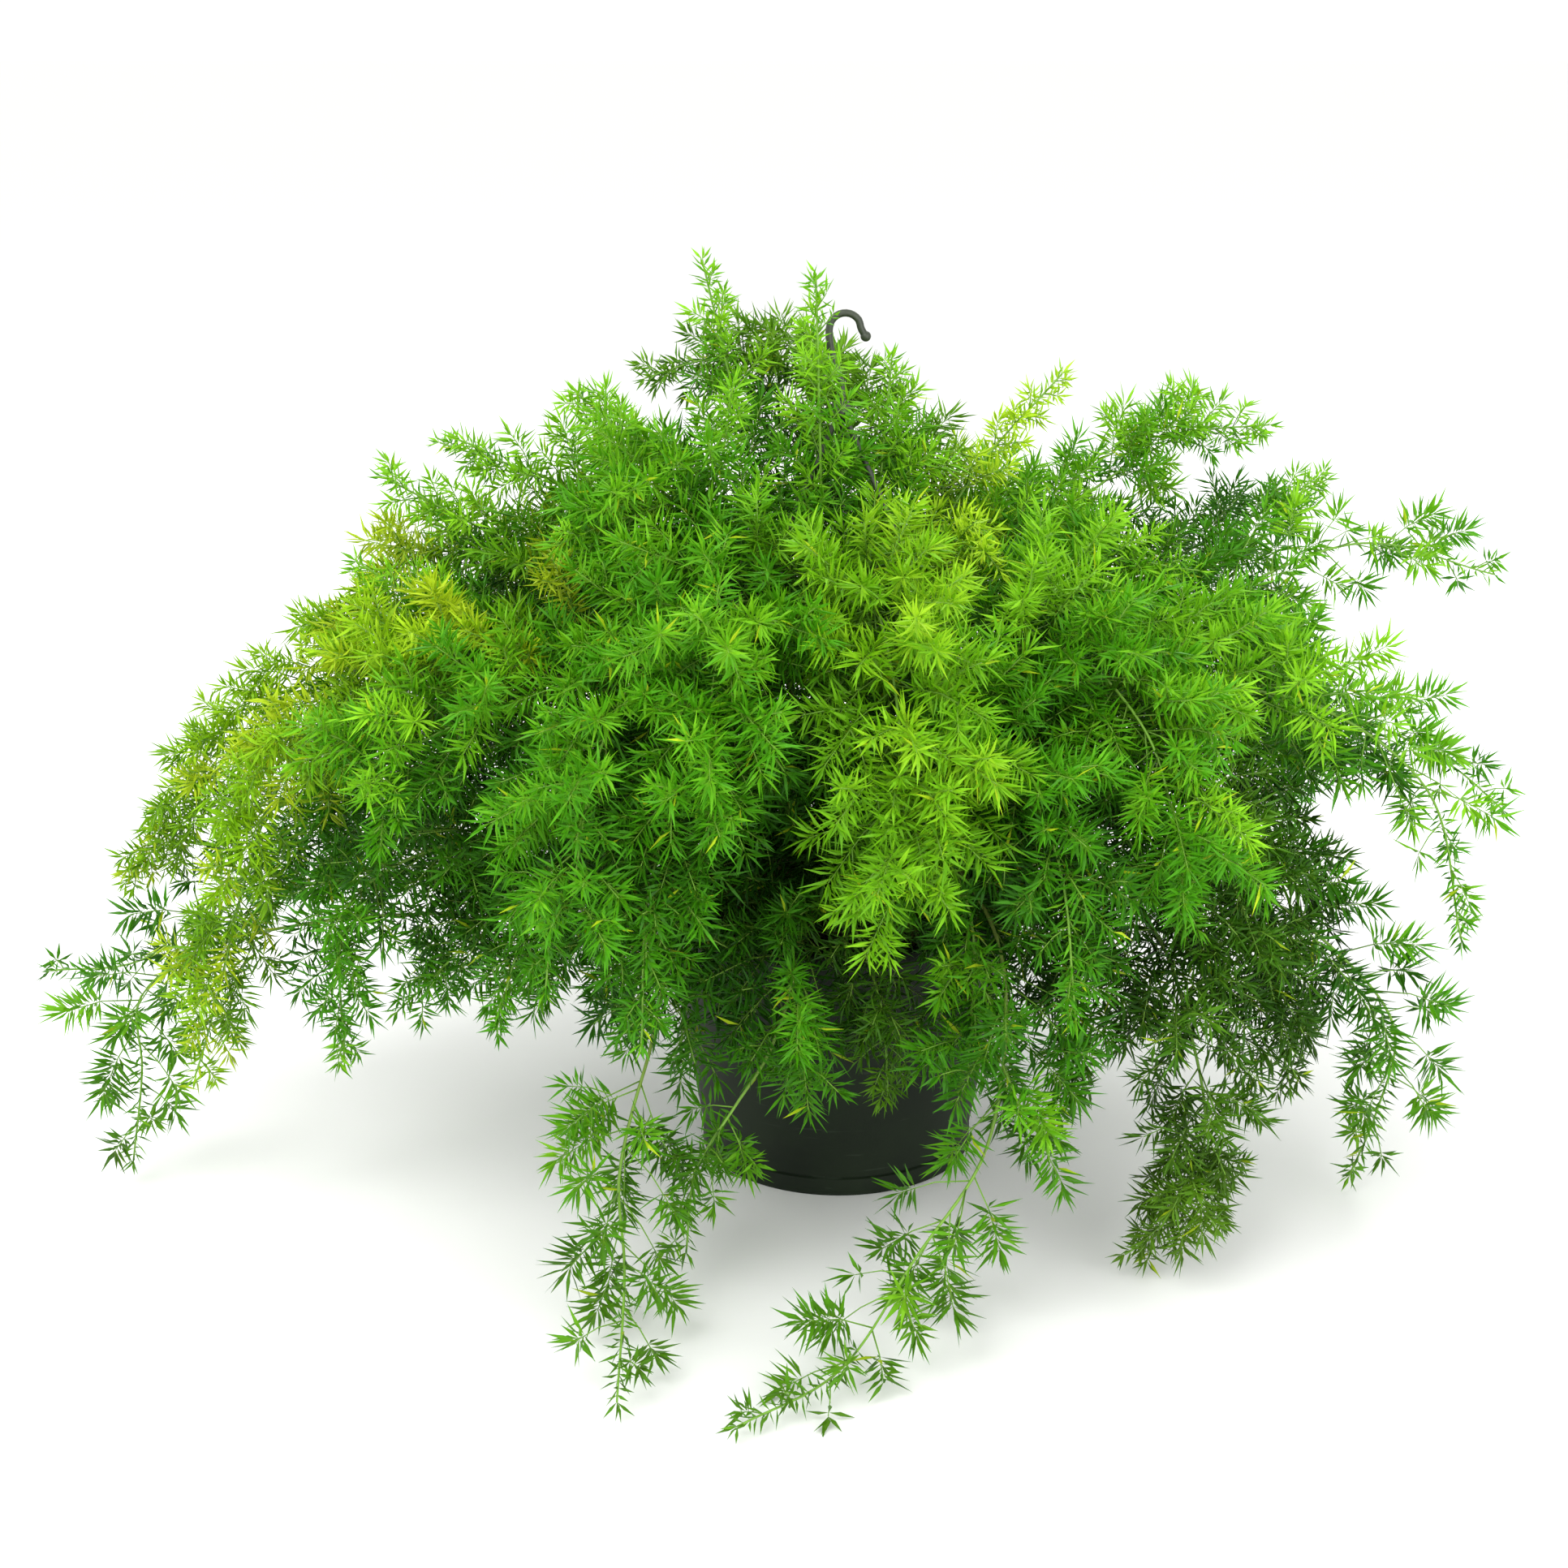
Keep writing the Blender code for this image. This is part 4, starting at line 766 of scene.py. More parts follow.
def needle_part(needles, luck_and_light, shade, loose, draw):
    """Corners, triangles, growth, material and smoothness of one set of needles."""
    kept, base, way, face, reach, curl = needles
    width = NEEDLE_WIDTH * (1.0 + LOOSE_BREADTH * loose[kept])
    corners, triangles = needle_bodies(base[kept], way[kept], face[kept], reach[kept], curl[kept], width)
    each = len(NEEDLE_PLACES)
    growth = np.column_stack([np.repeat(draw.uniform(0, 1, kept.sum()), each), np.repeat(luck_and_light[kept], each),
                              np.tile(NEEDLE_PLACES, kept.sum()), np.repeat(shade[kept], each)])
    return corners, triangles, growth, 0, False


def tube_part(centres, girth, sides, luck_and_light, youth_and_light):
    """The same for the stem or for the stalks."""
    corners, triangles = tubes(centres, girth, sides)
    growth = np.column_stack([np.full(len(corners), 0.5), np.repeat(luck_and_light, sides * centres.shape[1]),
                              np.zeros(len(corners)), youth_and_light])
    return corners, triangles, growth, 1, True


def joined(parts):
    """The parts' arrays end to end, with the triangles counted on."""
    start, rows = 0, []
    for corners, triangles, growth, which, smooth in parts:
        rows.append((corners, triangles + start, growth, np.full(len(triangles), which),
                     np.full(len(triangles), smooth)))
        start += len(corners)
    return [np.concatenate(column) for column in zip(*rows)]


# %% Build one frond
STEM_RADIUS = 1.65
STEM_TIP_RADIUS = 0.55
STEM_TAPER = 0.8
STEM_STEP = 8.0
STEM_SIDES = 6
STALK_RADIUS = 0.42
STALK_TAPER = (1.3, 0.7)
STALK_RINGS = 3
STALK_SIDES = 3
SHOOT_LUCK = 0.12
SHADE_BROWNING = 0.6
# The range of each stem's draw of tone. Partly this is a stem's own colour, as at the duller crest, and
# partly painted light and shade: stems at the top, at the left shoulder, under the crown and one in front
# are painted lighter, and the stems of the dome are painted darker.
LUCK_AND_LIGHT = {"bright_front": (0.6, 1.0), "spray_left": (0.5, 1.0), "crest": (0.0, 0.6), "dome_left": (0.0, 0.4),
        "dome_front": (0.0, 0.4), "dome_right_high": (0.6, 1.0), "lime_spire": (0.6, 1.0),
        "drape_middle": (0.6, 1.0), "fringe": (0.4, 1.0), "under_left": (0.4, 1.0), "hang": (0.4, 1.0)}


def build_frond(name, path, sprays, spray_shade, spray_loose, draw):
    shoots, on_spray = side_shoots(sprays, spray_shade, spray_loose, draw)
    luck_and_light = draw.uniform(*by_start(LUCK_AND_LIGHT, name, (0.0, 1.0)), len(sprays))
    shoot_luck_and_light = luck_and_light[on_spray] + draw.normal(0, SHOOT_LUCK, len(shoots))
    luck_and_light = np.append(luck_and_light, np.clip(shoot_luck_and_light, 0, 1))
    shade = np.append(spray_shade, spray_shade[on_spray])
    loose = np.append(spray_loose, spray_loose[on_spray])
    bends = np.concatenate([sprays, shoots])
    number, needles = spray_needles(bends, shade, loose, draw)
    on_stem, tip_needles = stem_needles(path, draw)
    stem = read_every(path, STEM_STEP)
    stem_share = np.linspace(0.0, 1.0, len(stem))
    stem_girth = STEM_RADIUS + (STEM_TIP_RADIUS - STEM_RADIUS) * stem_share ** STEM_TAPER
    stalks = np.stack([on_bends(bends, place)[0] for place in np.linspace(0.0, 1.0, STALK_RINGS)], axis=1)
    stalk_girth = STALK_RADIUS * np.linspace(*STALK_TAPER, STALK_RINGS)[None].repeat(len(bends), axis=0)
    # Painted shade: stalks deep in the shade get a lower value, which paints them browner and darker.
    stalk_light = np.repeat(1.0 - SHADE_BROWNING * shade, STALK_SIDES * STALK_RINGS)
    return mesh_from(name, *joined([
        needle_part(needles, luck_and_light[number], shade[number], loose[number], draw),
        needle_part(tip_needles, draw.uniform(0, 1, len(on_stem)), 1.0 - on_stem,
                    np.zeros(len(on_stem)), draw),
        tube_part(stem[None], stem_girth[None], STEM_SIDES, np.array([0.5]),
                  np.repeat(stem_share, STEM_SIDES)),
        tube_part(stalks, stalk_girth, STALK_SIDES, luck_and_light, stalk_light),
    ]))


# %% [markdown]
# ## Colours and nodes
#
# Colours are written as sRGB hex, as a colour picker shows them, and turned linear in one place.
# One small function adds a node with its settings and its links, and every material uses it.

# %% Colour and node helpers
def linear(hex_colour):
    values = [int(hex_colour[i:i + 2], 16) / 255 for i in (1, 3, 5)]
    return (*[v / 12.92 if v <= 0.04045 else ((v + 0.055) / 1.055) ** 2.4 for v in values], 1.0)


def feed(tree, node, inputs):
    """Gives each input a value, or links it to an output or to a node's first output in use."""
    for key, value in inputs.items():
        if isinstance(value, bpy.types.Node):
            value = next(output for output in value.outputs if output.enabled)
        if isinstance(value, bpy.types.NodeSocket):
            tree.links.new(value, node.inputs[key])
        else:
            node.inputs[key].default_value = value


def add(tree, kind, inputs=None, **settings):
    """Adds a shader node with its settings and its inputs."""
    made = tree.nodes.new("ShaderNode" + kind)
    for key, value in settings.items():
        setattr(made, key, value)
    feed(tree, made, inputs or {})
    return made


def new_material(name):
    material = bpy.data.materials.new(name)
    material.use_nodes = True
    tree = material.node_tree
    return material, tree, tree.nodes["Principled BSDF"]


def set_stops(ramp, stops):
    """Gives a colour ramp its stops, each a place and an sRGB hex colour."""
    line = ramp.color_ramp
    while len(line.elements) < len(stops):
        line.elements.new(0.5)
    for element, (place, colour) in zip(line.elements, stops):
        element.position = place
        element.color = linear(colour)


print("mid grey turned linear:", round(linear("#808080")[0], 3))

# %% [markdown]
# ## Needles and stems
#
# The needles are living tissue with a waxy skin, which gives them a soft gloss. Young growth is
# yellow-green and grown foliage is a strong mid green. The deep green is painted shade on the stems
# that hang under the crown, and on the arch at the crest it is a darker green of its own. Each
# needle and each spray has its own draw of tone, within a range for each stem that partly paints
# light and shade, and a noise of about 60 mm adds patches. The tone is painted lighter with height,
# for the light from above, and darker with the shade, and near the ground it is painted a dark olive
# for the shade there. A few needles are yellow, and on two stems at the left whole sprays are. The
# stem is green and turns brown towards its root, and stalks in the shade are painted browner.

# %% Make the foliage materials
FOLIAGE = {
    "lime": ("young_waxy_needles", 1.0, ((0.0, "#387408"), (0.5, "#6CAA0E"), (1.0, "#A6CE20"))),
    "green": ("grown_waxy_needles", 1.0, ((0.0, "#265C06"), (0.5, "#469008"), (1.0, "#84C21A"))),
    # The deep green is painted shade on the stems that hang under the crown; on the arch at the crest it is
    # a darker green of its own.
    "deep": ("deep_green_and_shaded_needles", 1.0, ((0.0, "#264C08"), (0.5, "#42760C"), (1.0, "#6A9C1A"))),
    "turning": ("turning_waxy_needles", 0.8, ((0.0, "#4E860A"), (0.5, "#80B40E"), (1.0, "#A8CC1C"))),
}
TURNING = ("yellow_left", "slope_left")
LOWEST = 150.0
HIGHEST = 500.0
# Painted light: the tone is lower near the ground and higher towards the top, where the light falls from
# above.
PAINTED_HEIGHT_LIGHT = (-0.22, 0.3)
PATCH_SIZE = 60.0
SPRAY_TONE = 0.55
PATCH_TONE = 0.5
NEEDLE_TONE = 0.24
SHADE_TONE = -0.6
SHADE_DARK = 0.64
YELLOW_NEEDLE = 0.99
PALE_FOOT = (0.3, 0.35)
# Painted shade: how far foliage below LOWEST is mixed towards a dark olive.
GROUND_SHADE_OLIVE = 0.4


def foliage_material(name, yellow_from, stops):
    material, tree, shader = new_material(name)
    growth = add(tree, "Attribute", attribute_name="growth")
    drawn = add(tree, "SeparateColor", {"Color": growth})
    red, green, shade = drawn.outputs["Red"], drawn.outputs["Green"], growth.outputs["Alpha"]
    place = add(tree, "TexCoord").outputs["Object"]
    height = add(tree, "SeparateXYZ", {"Vector": place}).outputs["Z"]
    patches = add(tree, "TexNoise", {"Vector": place, "Scale": 1.0 / (PATCH_SIZE * MM), "Detail": 2.0})
    # Painted light: the tone starts from the height, lighter towards the top.
    tone = add(tree, "MapRange", {"Value": height, "From Min": LOWEST * MM, "From Max": HIGHEST * MM,
                                  "To Min": PAINTED_HEIGHT_LIGHT[0], "To Max": PAINTED_HEIGHT_LIGHT[1]})
    weighed = ((green, SPRAY_TONE), (patches, PATCH_TONE), (red, NEEDLE_TONE), (shade, SHADE_TONE))
    for value, weight in weighed:
        tone = add(tree, "Math", {0: value, 1: weight, 2: tone}, operation="MULTIPLY_ADD")
    ramp = add(tree, "ValToRGB", {"Fac": tone})
    set_stops(ramp, stops)
    needle = add(tree, "Math", {0: red, 1: YELLOW_NEEDLE}, operation="GREATER_THAN")
    spray = add(tree, "Math", {0: green, 1: yellow_from}, operation="GREATER_THAN")
    yellow = add(tree, "Math", {0: needle, 1: spray}, operation="MAXIMUM")
    foot = add(tree, "MapRange", {"Value": drawn.outputs["Blue"], "From Max": PALE_FOOT[0],
                                  "To Min": PALE_FOOT[1], "To Max": 0.0})
    # Painted shade near the ground: foliage below LOWEST is mixed towards a dark olive.
    low = add(tree, "MapRange", {"Value": height, "From Max": LOWEST * MM, "To Min": GROUND_SHADE_OLIVE, "To Max": 0.0})
    dark = add(tree, "Math", {0: shade, 1: SHADE_DARK}, operation="MULTIPLY")
    colour = ramp
    # The mixes: yellow needles, pale needle feet, a dark olive painted shade near the ground and a deep
    # green painted shade inside the crown.
    for share, tint in ((yellow, "#A4C01A"), (foot, "#8FB02C"), (low, "#566812"), (dark, "#0F2E03")):
        colour = add(tree, "Mix", {"Factor": share, "A": colour, "B": linear(tint)}, data_type="RGBA")
    gloss = add(tree, "MapRange", {"Value": red, "To Min": 0.42, "To Max": 0.6})
    feed(tree, shader, {"Base Color": colour, "Roughness": gloss, "Specular IOR Level": 0.16})
    return material


foliage = {colour: foliage_material(*FOLIAGE[colour]) for colour in FOLIAGE}
print("foliage materials:", [material.name for material in foliage.values()])


# %% Make the stem's bark
def stem_bark():
    material, tree, shader = new_material("green_to_woody_stem")
    growth = add(tree, "Attribute", attribute_name="growth")
    place = add(tree, "TexCoord").outputs["Object"]
    flecks = add(tree, "TexNoise", {"Vector": place, "Scale": 1.0 / (6.0 * MM), "Detail": 3.0})
    # This value is the stem's youth, and on the stalks it is painted shade that makes shaded ones browner
    # and darker.
    youth_and_light = add(tree, "Math", {0: flecks, 1: 0.3, 2: growth.outputs["Alpha"]}, operation="MULTIPLY_ADD")
    ramp = add(tree, "ValToRGB", {"Fac": youth_and_light})
    set_stops(ramp, ((0.1, "#6A5A34"), (0.45, "#6E7D30"), (0.9, "#6FA02C")))
    bump = add(tree, "Bump", {"Height": flecks, "Strength": 0.3, "Distance": 0.2 * MM})
    feed(tree, shader, {"Base Color": ramp, "Roughness": 0.55, "Normal": bump})
    return material


bark = stem_bark()
print("stem material:", bark.name)


# %% Grow every frond over its solid
def new_object(name, data):
    made = bpy.data.objects.new(name, data)
    bpy.context.scene.collection.objects.link(made)
    return made


def add_piece(name, mesh, nodes):
    piece = new_object(name, mesh)
    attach(piece, "root")
    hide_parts(*nodes)
    return piece


triangle_count = 0
for number, (name, colour, path) in enumerate(stems):
    mine = owner == number
    own_draw = np.random.default_rng((SEED, number))
    mesh = build_frond(name, path, bends[mine], shades[mine], loose[mine], own_draw)
    mesh.materials.append(foliage["turning" if name in TURNING else colour])
    mesh.materials.append(bark)
    add_piece(f"{name}_foliage", mesh, [f"frond_{name}"])
    triangle_count += len(mesh.polygons)
print("triangles in the fronds:", triangle_count)

# %% [markdown]
# ## The pot
#
# The pot is injection-moulded polypropylene: a turned profile with a solid lip, a band at the
# foot and a fine groove over it. A Screw modifier would turn the same profile, but spinning it in
# bmesh gives the mesh straight away. Five holes in the floor let water out.

# %% Tools for turned and cut shapes
MERGE = 0.00001


def corner(centre, radius, first, last, steps=5):
    """Points of a round corner in a profile."""
    angles = np.radians(np.linspace(first, last, steps))
    return [(centre[0] + radius * math.cos(a), centre[1] + radius * math.sin(a)) for a in angles]


def mesh_of(bm, name):
    """A mesh from a bmesh, which is freed."""
    mesh = bpy.data.meshes.new(name)
    bm.to_mesh(mesh)
    bm.free()
    return mesh


def smoothed(mesh, sharp_from):
    """The mesh shaded smooth, with edges that are sharper than an angle in degrees left sharp."""
    mesh.shade_smooth()
    mesh.set_sharp_from_angle(angle=math.radians(sharp_from))
    return mesh


def turned_mesh(name, profile, sides):
    """A closed solid turned about Z from a profile whose two ends lie on the axis."""
    bm = bmesh.new()
    verts = [bm.verts.new((radius * MM, 0.0, height * MM)) for radius, height in profile]
    edges = [bm.edges.new(pair) for pair in zip(verts[:-1], verts[1:])]
    bmesh.ops.spin(bm, geom=verts + edges, cent=(0, 0, 0), axis=(0, 0, 1), angle=2 * math.pi,
                   steps=sides, use_merge=True)
    bmesh.ops.remove_doubles(bm, verts=bm.verts, dist=MERGE)
    bmesh.ops.recalc_face_normals(bm, faces=bm.faces)
    return smoothed(mesh_of(bm, name), 38)


def final_mesh(piece):
    """The mesh that an object's modifiers or bevel make."""
    bpy.context.view_layer.update()
    return bpy.data.meshes.new_from_object(piece.evaluated_get(bpy.context.evaluated_depsgraph_get()))


# %% Turn the pot
POT_SIDES = 128
LIP_EDGE = 1.2
FOOT_EDGE = 1.4
FLOOR_CORNER = 2.0
WALL_EDGE = 0.8
FINE_EDGE = 0.4
GROOVE_SLOPE = 0.5
lip_bottom = POT_HEIGHT - LIP_HEIGHT
band = wall_radius(BAND_HEIGHT) + BAND_STAND
groove_top = BAND_HEIGHT + GROOVE_WIDTH
groove_floor = wall_radius(BAND_HEIGHT) - BAND_STAND
pot_profile = [
    (0.0, FLOOR), (wall_radius(FLOOR) - WALL - FLOOR_CORNER, FLOOR),
    (wall_radius(FLOOR) - WALL, FLOOR + FLOOR_CORNER),
    (wall_radius(POT_HEIGHT) - WALL, POT_HEIGHT - WALL_EDGE),
    (wall_radius(POT_HEIGHT) - WALL + WALL_EDGE, POT_HEIGHT),
    *corner((RIM_RADIUS - LIP_EDGE, POT_HEIGHT - LIP_EDGE), LIP_EDGE, 90, 0),
    *corner((RIM_RADIUS - LIP_EDGE, lip_bottom + LIP_EDGE), LIP_EDGE, 0, -90),
    (wall_radius(lip_bottom) + WALL_EDGE, lip_bottom), (wall_radius(lip_bottom), lip_bottom - WALL_EDGE),
    (wall_radius(groove_top), groove_top), (groove_floor, groove_top - GROOVE_SLOPE),
    (groove_floor, BAND_HEIGHT + FINE_EDGE),
    (band - FINE_EDGE, BAND_HEIGHT), (band, BAND_HEIGHT - FINE_EDGE),
    *corner((band - FOOT_EDGE, FOOT_EDGE), FOOT_EDGE, 0, -90), (0.0, 0.0),
]
pot = add_piece("nursery_pot", turned_mesh("pot", pot_profile, POT_SIDES), ["pot"])
print("pot faces before drilling:", len(pot.data.polygons))

# %% Drill the drain holes
DRAINS = 5
DRAIN_RADIUS = 4.5
DRAIN_CIRCLE = 50.0
drains = bmesh.new()
for number in range(DRAINS):
    spot = Vector(polar(90.0 + 360.0 / DRAINS * number, DRAIN_CIRCLE, FLOOR / 2)) * MM
    bmesh.ops.create_cone(drains, cap_ends=True, segments=24, radius1=DRAIN_RADIUS * MM,
                          radius2=DRAIN_RADIUS * MM, depth=3 * FLOOR * MM, matrix=Matrix.Translation(spot))
cutter = new_object("drain_cutter", mesh_of(drains, "drain_cutter"))
cut = pot.modifiers.new("drains", "BOOLEAN")
cut.object = cutter
cut.solver = "EXACT"
drilled = final_mesh(pot)
pot.modifiers.clear()
pot.data = drilled
bpy.data.objects.remove(cutter)
print("pot faces:", len(pot.data.polygons))

# %% [markdown]
# ## Black-green polypropylene
#
# Nursery pots are moulded in recycled plastic, matt from the tool's texture, with a slight green
# cast. Handling leaves pale scuffs. Flow from the gate leaves faint darker lines, which are not
# drawn here. The grain of the tool is about 0.4 mm, too fine to show here, so it is drawn at 1.2 mm.

# %% Make the pot's plastic
CLOUD_SIZE = 45.0
GRAIN_SIZE = 1.2
# Waves in a metre, which lay level scuffs about 33 mm long and 2.4 mm wide.
SCUFF_WAVES = (30.0, 30.0, 420.0)


def pot_plastic():
    material, tree, shader = new_material("moulded_polypropylene")
    place = add(tree, "TexCoord").outputs["Object"]
    cloud = add(tree, "TexNoise", {"Vector": place, "Scale": 1.0 / (CLOUD_SIZE * MM), "Detail": 4.0})
    ramp = add(tree, "ValToRGB", {"Fac": cloud})
    set_stops(ramp, ((0.3, "#0D170B"), (0.7, "#172312")))
    stretched = add(tree, "Mapping", {"Vector": place, "Rotation": (0.0, 0.5, 0.0), "Scale": SCUFF_WAVES})
    scuffs = add(tree, "TexNoise", {"Vector": stretched, "Scale": 1.0, "Detail": 2.0})
    lines = add(tree, "MapRange", {"Value": scuffs, "From Min": 0.66, "From Max": 0.74, "To Max": 0.35})
    colour = add(tree, "Mix", {"Factor": lines, "A": ramp, "B": linear("#3A4438")}, data_type="RGBA")
    gloss = add(tree, "MapRange", {"Value": cloud, "To Min": 0.42, "To Max": 0.62})
    grain = add(tree, "TexNoise", {"Vector": place, "Scale": 1.0 / (GRAIN_SIZE * MM), "Detail": 2.0})
    bump = add(tree, "Bump", {"Height": grain, "Strength": 0.25, "Distance": 0.2 * MM})
    feed(tree, shader, {"Base Color": colour, "Roughness": gloss, "Normal": bump,
                        "Specular IOR Level": 0.24})
    return material


pot.data.materials.clear()
pot.data.materials.append(pot_plastic())
print("pot material:", pot.data.materials[0].name)

# %% [markdown]
# ## The potting mix
#
# Under the foliage lies dark peat with bark chips, so dull that it takes no highlight. A flat disc
# would look like a lid, and a pile of loose chips would be slow to make. So the top is a fine grid
# raised by a few waves, and some hundred angular crumbs are pressed into it.

# %% Heap the potting mix
SOIL_GAP = 0.4
SOIL_GRID = 90
SOIL_SINK = 1.5
WAVES = 10
WAVE_RISE = 0.35
WAVE_RATES = (0.03, 0.55)
CRUMBS = 420
CRUMB_SIZES = (1.2, 3.6)
CRUMB_MARGIN = 5.0
CRUMB_SINK = 0.8
CRUMB_SHAPE = (1.0, 0.7, 0.45)
NEARLY_A_TURN = 6.28


def heave(bm, draw):
    """Raises and lowers the top by a sum of waves."""
    shifts = draw.uniform(0, NEARLY_A_TURN, (WAVES, 3))
    waves = draw.uniform(*WAVE_RATES, WAVES)
    for vert in bm.verts:
        x, y = vert.co.x / MM, vert.co.y / MM
        rise = sum(WAVE_RISE * math.sin(x * w * math.cos(s[0]) + y * w * math.sin(s[0]) + s[1])
                   for w, s in zip(waves, shifts))
        vert.co.z = (SOIL_TOP - SOIL_SINK + rise) * MM


def add_crumb(bm, reach, draw):
    away, angle = reach * math.sqrt(draw.uniform()), draw.uniform(0, 2 * math.pi)
    size = draw.uniform(*CRUMB_SIZES)
    spot = Vector((away * math.cos(angle), away * math.sin(angle), SOIL_TOP - CRUMB_SINK)) * MM
    turn = Matrix.Rotation(draw.uniform(0, NEARLY_A_TURN), 4, Vector(draw.normal(size=3)).normalized())
    for vert in bmesh.ops.create_icosphere(bm, subdivisions=1, radius=size * MM)["verts"]:
        vert.co = spot + turn @ (vert.co * Vector(CRUMB_SHAPE)) * draw.uniform(0.8, 1.2)


def soil_mesh(draw):
    radius = wall_radius(SOIL_TOP) - WALL - SOIL_GAP
    bm = bmesh.new()
    bmesh.ops.create_grid(bm, x_segments=SOIL_GRID, y_segments=SOIL_GRID, size=radius * MM)
    for vert in bm.verts:
        x, y = vert.co.x / (radius * MM), vert.co.y / (radius * MM)
        vert.co.x *= math.sqrt(1 - y * y / 2)
        vert.co.y *= math.sqrt(1 - x * x / 2)
    heave(bm, draw)
    rim = [edge for edge in bm.edges if edge.is_boundary]
    skirt = bmesh.ops.extrude_edge_only(bm, edges=rim)["geom"]
    foot = FLOOR + SOIL_GAP
    share = (wall_radius(foot) - WALL - SOIL_GAP) / radius
    for vert in (item for item in skirt if isinstance(item, bmesh.types.BMVert)):
        vert.co = (vert.co.x * share, vert.co.y * share, foot * MM)
    bmesh.ops.contextual_create(bm, geom=[edge for edge in bm.edges if edge.is_boundary])
    for _ in range(CRUMBS):
        add_crumb(bm, radius - CRUMB_MARGIN, draw)
    bmesh.ops.recalc_face_normals(bm, faces=bm.faces)
    return mesh_of(bm, "potting_mix")


soil = add_piece("potting_mix", soil_mesh(np.random.default_rng(SEED)), ["soil"])
print("potting mix faces:", len(soil.data.polygons))

# %% Make the peat
CHIP_SIZE = 5.0
FINE_SIZE = 1.5


def peat():
    material, tree, shader = new_material("peat_and_bark")
    place = add(tree, "TexCoord").outputs["Object"]
    chips = add(tree, "TexVoronoi", {"Vector": place, "Scale": 1.0 / (CHIP_SIZE * MM)})
    fines = add(tree, "TexNoise", {"Vector": place, "Scale": 1.0 / (FINE_SIZE * MM), "Detail": 4.0})
    tone = add(tree, "Mix", {"Factor": 0.5, "A": chips.outputs["Color"], "B": fines.outputs["Color"]},
               data_type="RGBA")
    ramp = add(tree, "ValToRGB", {"Fac": tone})
    set_stops(ramp, ((0.25, "#17100A"), (0.6, "#38271A"), (0.85, "#5D4630")))
    bump = add(tree, "Bump", {"Height": fines, "Strength": 0.7, "Distance": 1.0 * MM})
    feed(tree, shader, {"Base Color": ramp, "Roughness": 0.95, "Normal": bump})
    return material


soil.data.materials.append(peat())
print("potting mix material:", soil.data.materials[0].name)

# %% [markdown]
# ## The hanger
#
# The hanger is one moulding: three thin arms that clip under the lip, a hub and a hook that ends
# in a small knob. The arms and the hook are curves with a round bevel, which keep their thickness
# round every bend, and the hub is a turned cone with a soft shoulder. It is polypropylene as the
# pot is, but olive and a little glossier, because a thin moulding comes from a polished tool.

# %% Shape the hanger
KNOB_RADIUS = 3.0
HUB_PROFILE = ((0.0, HUB_HEIGHT), (3.9, HUB_HEIGHT), (4.6, HUB_HEIGHT - 0.7), (5.6, 4.5),
               (HUB_RADIUS, 1.4), (HUB_RADIUS - 0.5, 0.2), (HUB_RADIUS - 1.2, 0.0), (0.0, 0.0))


def rod(name, route, radius):
    """A round rod along a route."""
    curve = bpy.data.curves.new(name, "CURVE")
    curve.dimensions = "3D"
    curve.bevel_depth = radius * MM
    curve.bevel_resolution = 4
    curve.use_fill_caps = True
    spline = curve.splines.new("POLY")
    spline.points.add(len(route) - 1)
    for point, place in zip(spline.points, route):
        point.co = (*(Vector(place) * MM), 1.0)
    shape = new_object(name, curve)
    mesh = final_mesh(shape)
    bpy.data.objects.remove(shape)
    return mesh


def arm_route(azimuth):
    """The arm's bends with the foot kept as it is and the long part drawn as one smooth bow."""
    places = arm_places(azimuth)
    return np.vstack([places[:3], smooth_curve(places[2], places[3:], 6.0)])


hook_bends = hook_places()
hook_route = smooth_curve(2 * hook_bends[0] - hook_bends[1], hook_bends, 2.0)
parts = [rod("arm", arm_route(azimuth), ARM_RADIUS) for azimuth in ARM_AZIMUTHS]
parts.append(rod("hook", hook_route, HOOK_THICKNESS))
parts.append(turned_mesh("hub", [(radius, HUB_BOTTOM + height) for radius, height in HUB_PROFILE], 40))
bm = bmesh.new()
for part in parts:
    bm.from_mesh(part)
    bpy.data.meshes.remove(part)
bmesh.ops.create_uvsphere(bm, u_segments=20, v_segments=12, radius=KNOB_RADIUS * MM,
                          matrix=Matrix.Translation(Vector(hook_bends[-1]) * MM))
bmesh.ops.remove_doubles(bm, verts=bm.verts, dist=MERGE)
bmesh.ops.recalc_face_normals(bm, faces=bm.faces)
hanger = add_piece("plastic_hanger", smoothed(mesh_of(bm, "hanger"), 50), ["hanger"])
print("hanger faces:", len(hanger.data.polygons))


# %% Make the hanger's plastic
def hanger_plastic():
    material, tree, shader = new_material("moulded_olive_polypropylene")
    place = add(tree, "TexCoord").outputs["Object"]
    cloud = add(tree, "TexNoise", {"Vector": place, "Scale": 1.0 / (12.0 * MM), "Detail": 3.0})
    ramp = add(tree, "ValToRGB", {"Fac": cloud})
    set_stops(ramp, ((0.3, "#262C20"), (0.7, "#3C4433")))
    gloss = add(tree, "MapRange", {"Value": cloud, "To Min": 0.35, "To Max": 0.55})
    feed(tree, shader, {"Base Color": ramp, "Roughness": gloss, "IOR": 1.49})
    return material


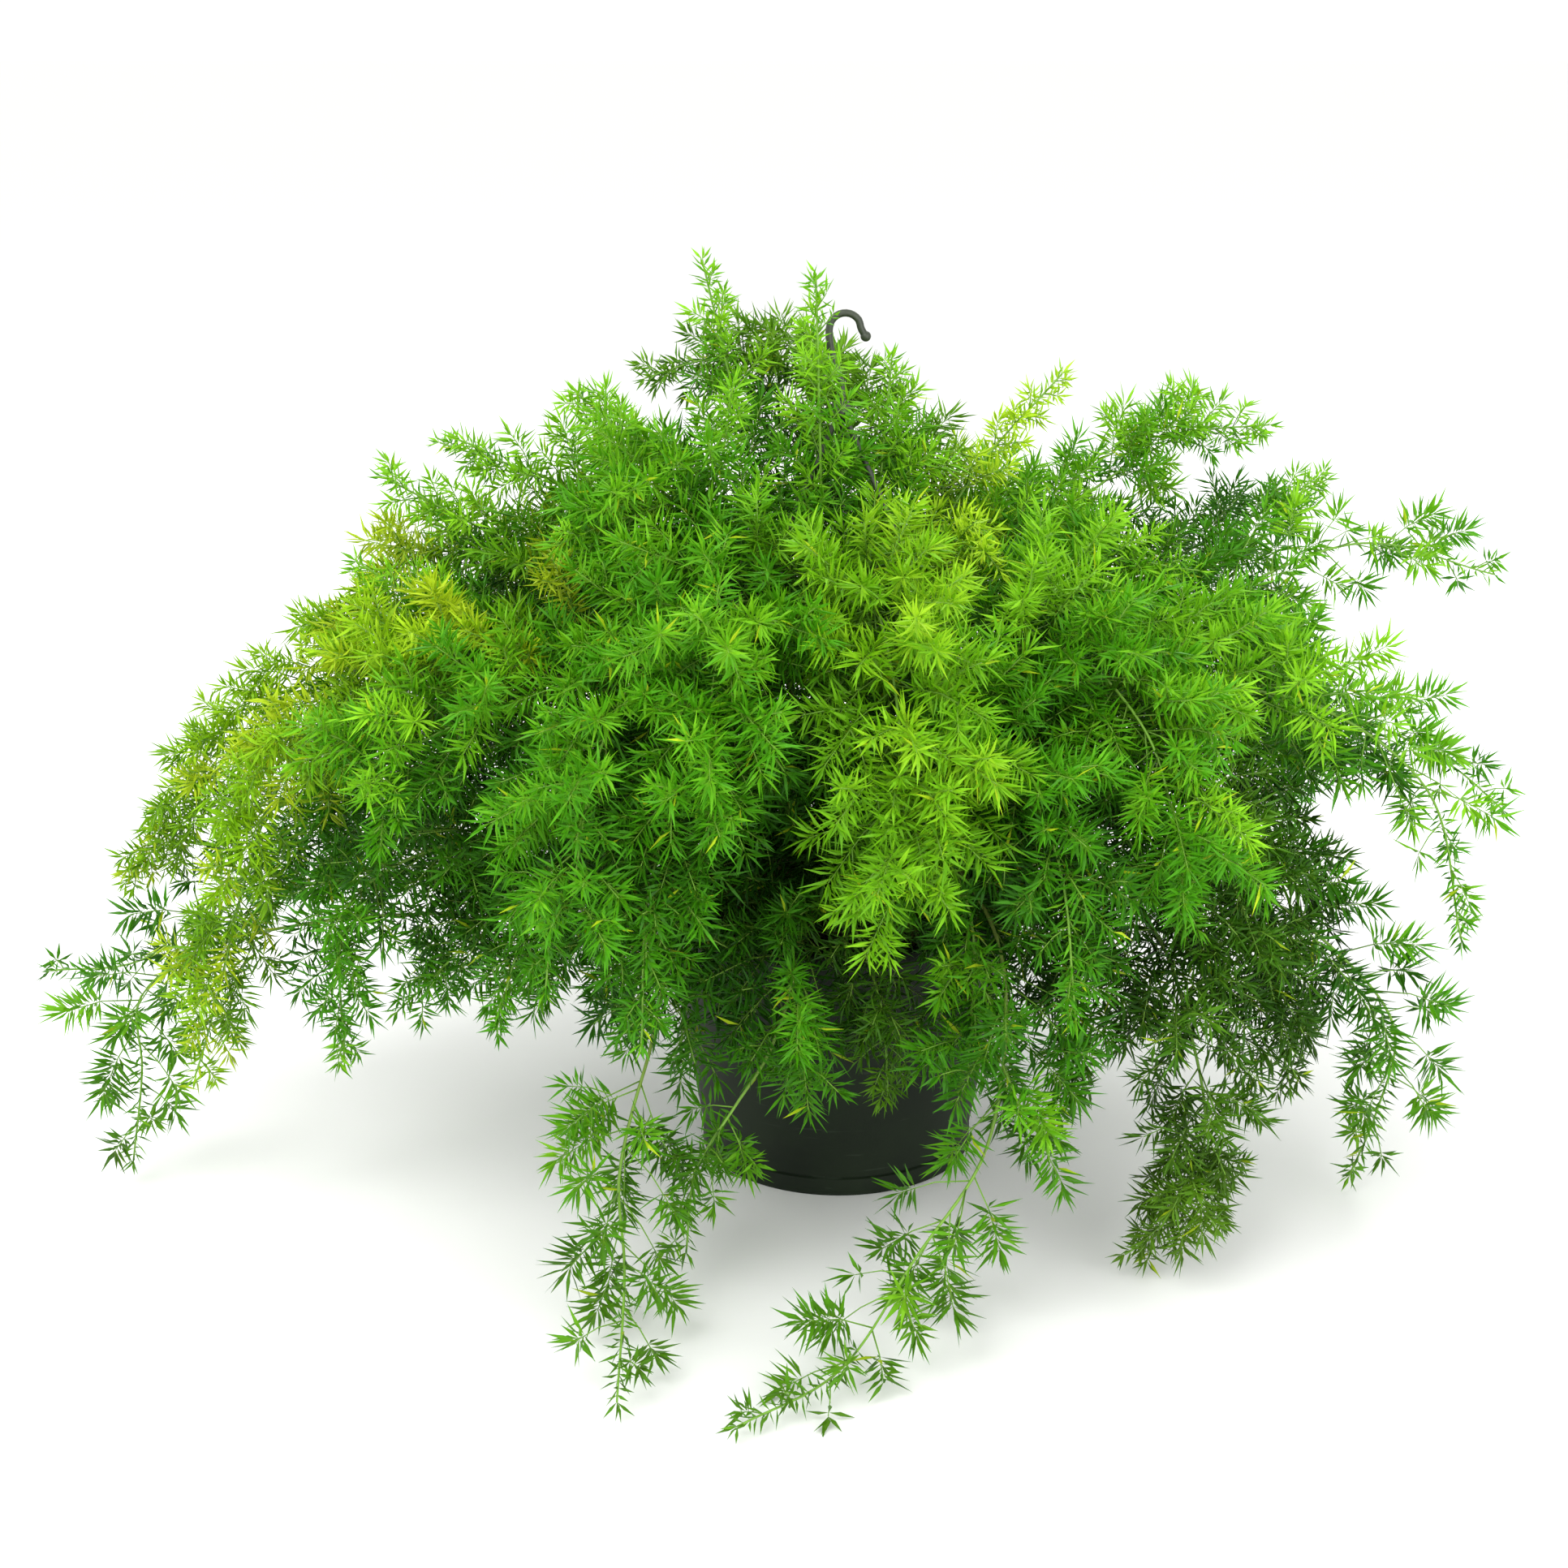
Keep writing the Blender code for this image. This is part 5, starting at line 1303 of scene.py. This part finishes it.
hanger.data.materials.append(hanger_plastic())
print("hanger material:", hanger.data.materials[0].name)

# %% [markdown]
# ## Floor, light and camera
#
# The photograph has a plain white ground and even light from above. A large pale floor, three
# broad lights and a soft world light give the same open shade, so the depth of the plant shows in
# the gaps and not in hard shadows. The camera looks down at the photograph's angle.

# %% Set the stage
FLOOR_SIZE = 60.0
floor_bm = bmesh.new()
bmesh.ops.create_grid(floor_bm, x_segments=1, y_segments=1, size=FLOOR_SIZE)
floor = new_object("floor", mesh_of(floor_bm, "floor"))
material, tree, shader = new_material("pale_studio_floor")
feed(tree, shader, {"Base Color": linear("#F7F7F5"), "Roughness": 0.9})
floor.data.materials.append(material)
print("floor in metres:", 2 * FLOOR_SIZE)

# %% Light it: each lamp has its name, place and width in metres, and power in watts
LIGHTS = (("key", (-1.2, -1.6, 2.2), 2.0, 50.0), ("fill", (1.4, -2.0, 0.9), 2.0, 32.0),
          ("back", (0.4, 2.0, 2.0), 2.0, 22.0))
AIM = Vector((0.0, 0.0, 0.25))
for name, place, size, power in LIGHTS:
    light = bpy.data.lights.new(name, "AREA")
    light.size = size
    light.energy = power
    lamp = new_object(name, light)
    lamp.location = place
    lamp.rotation_euler = (AIM - Vector(place)).to_track_quat("-Z", "Y").to_euler()
world = bpy.data.worlds.new("open_shade")
world.use_nodes = True
feed(world.node_tree, world.node_tree.nodes["Background"], {"Color": linear("#FFFFFF"), "Strength": 1.08})
bpy.context.scene.world = world
bpy.context.scene.view_settings.view_transform = "Standard"
print("lamps:", len(LIGHTS))

# %% Place the camera as the photograph's
CAMERA_PLACE = (-0.032405, -1.349337, 0.655203)
CAMERA_DIP = 17.515
camera_data = bpy.data.cameras.new("camera")
camera_data.sensor_width = 36.0
camera_data.lens = 54.612
camera = new_object("camera", camera_data)
camera.location = CAMERA_PLACE
camera.rotation_euler = (math.radians(90.0 - CAMERA_DIP), 0.0, 0.0)
bpy.context.scene.camera = camera
print("camera looks down by, degrees:", CAMERA_DIP)
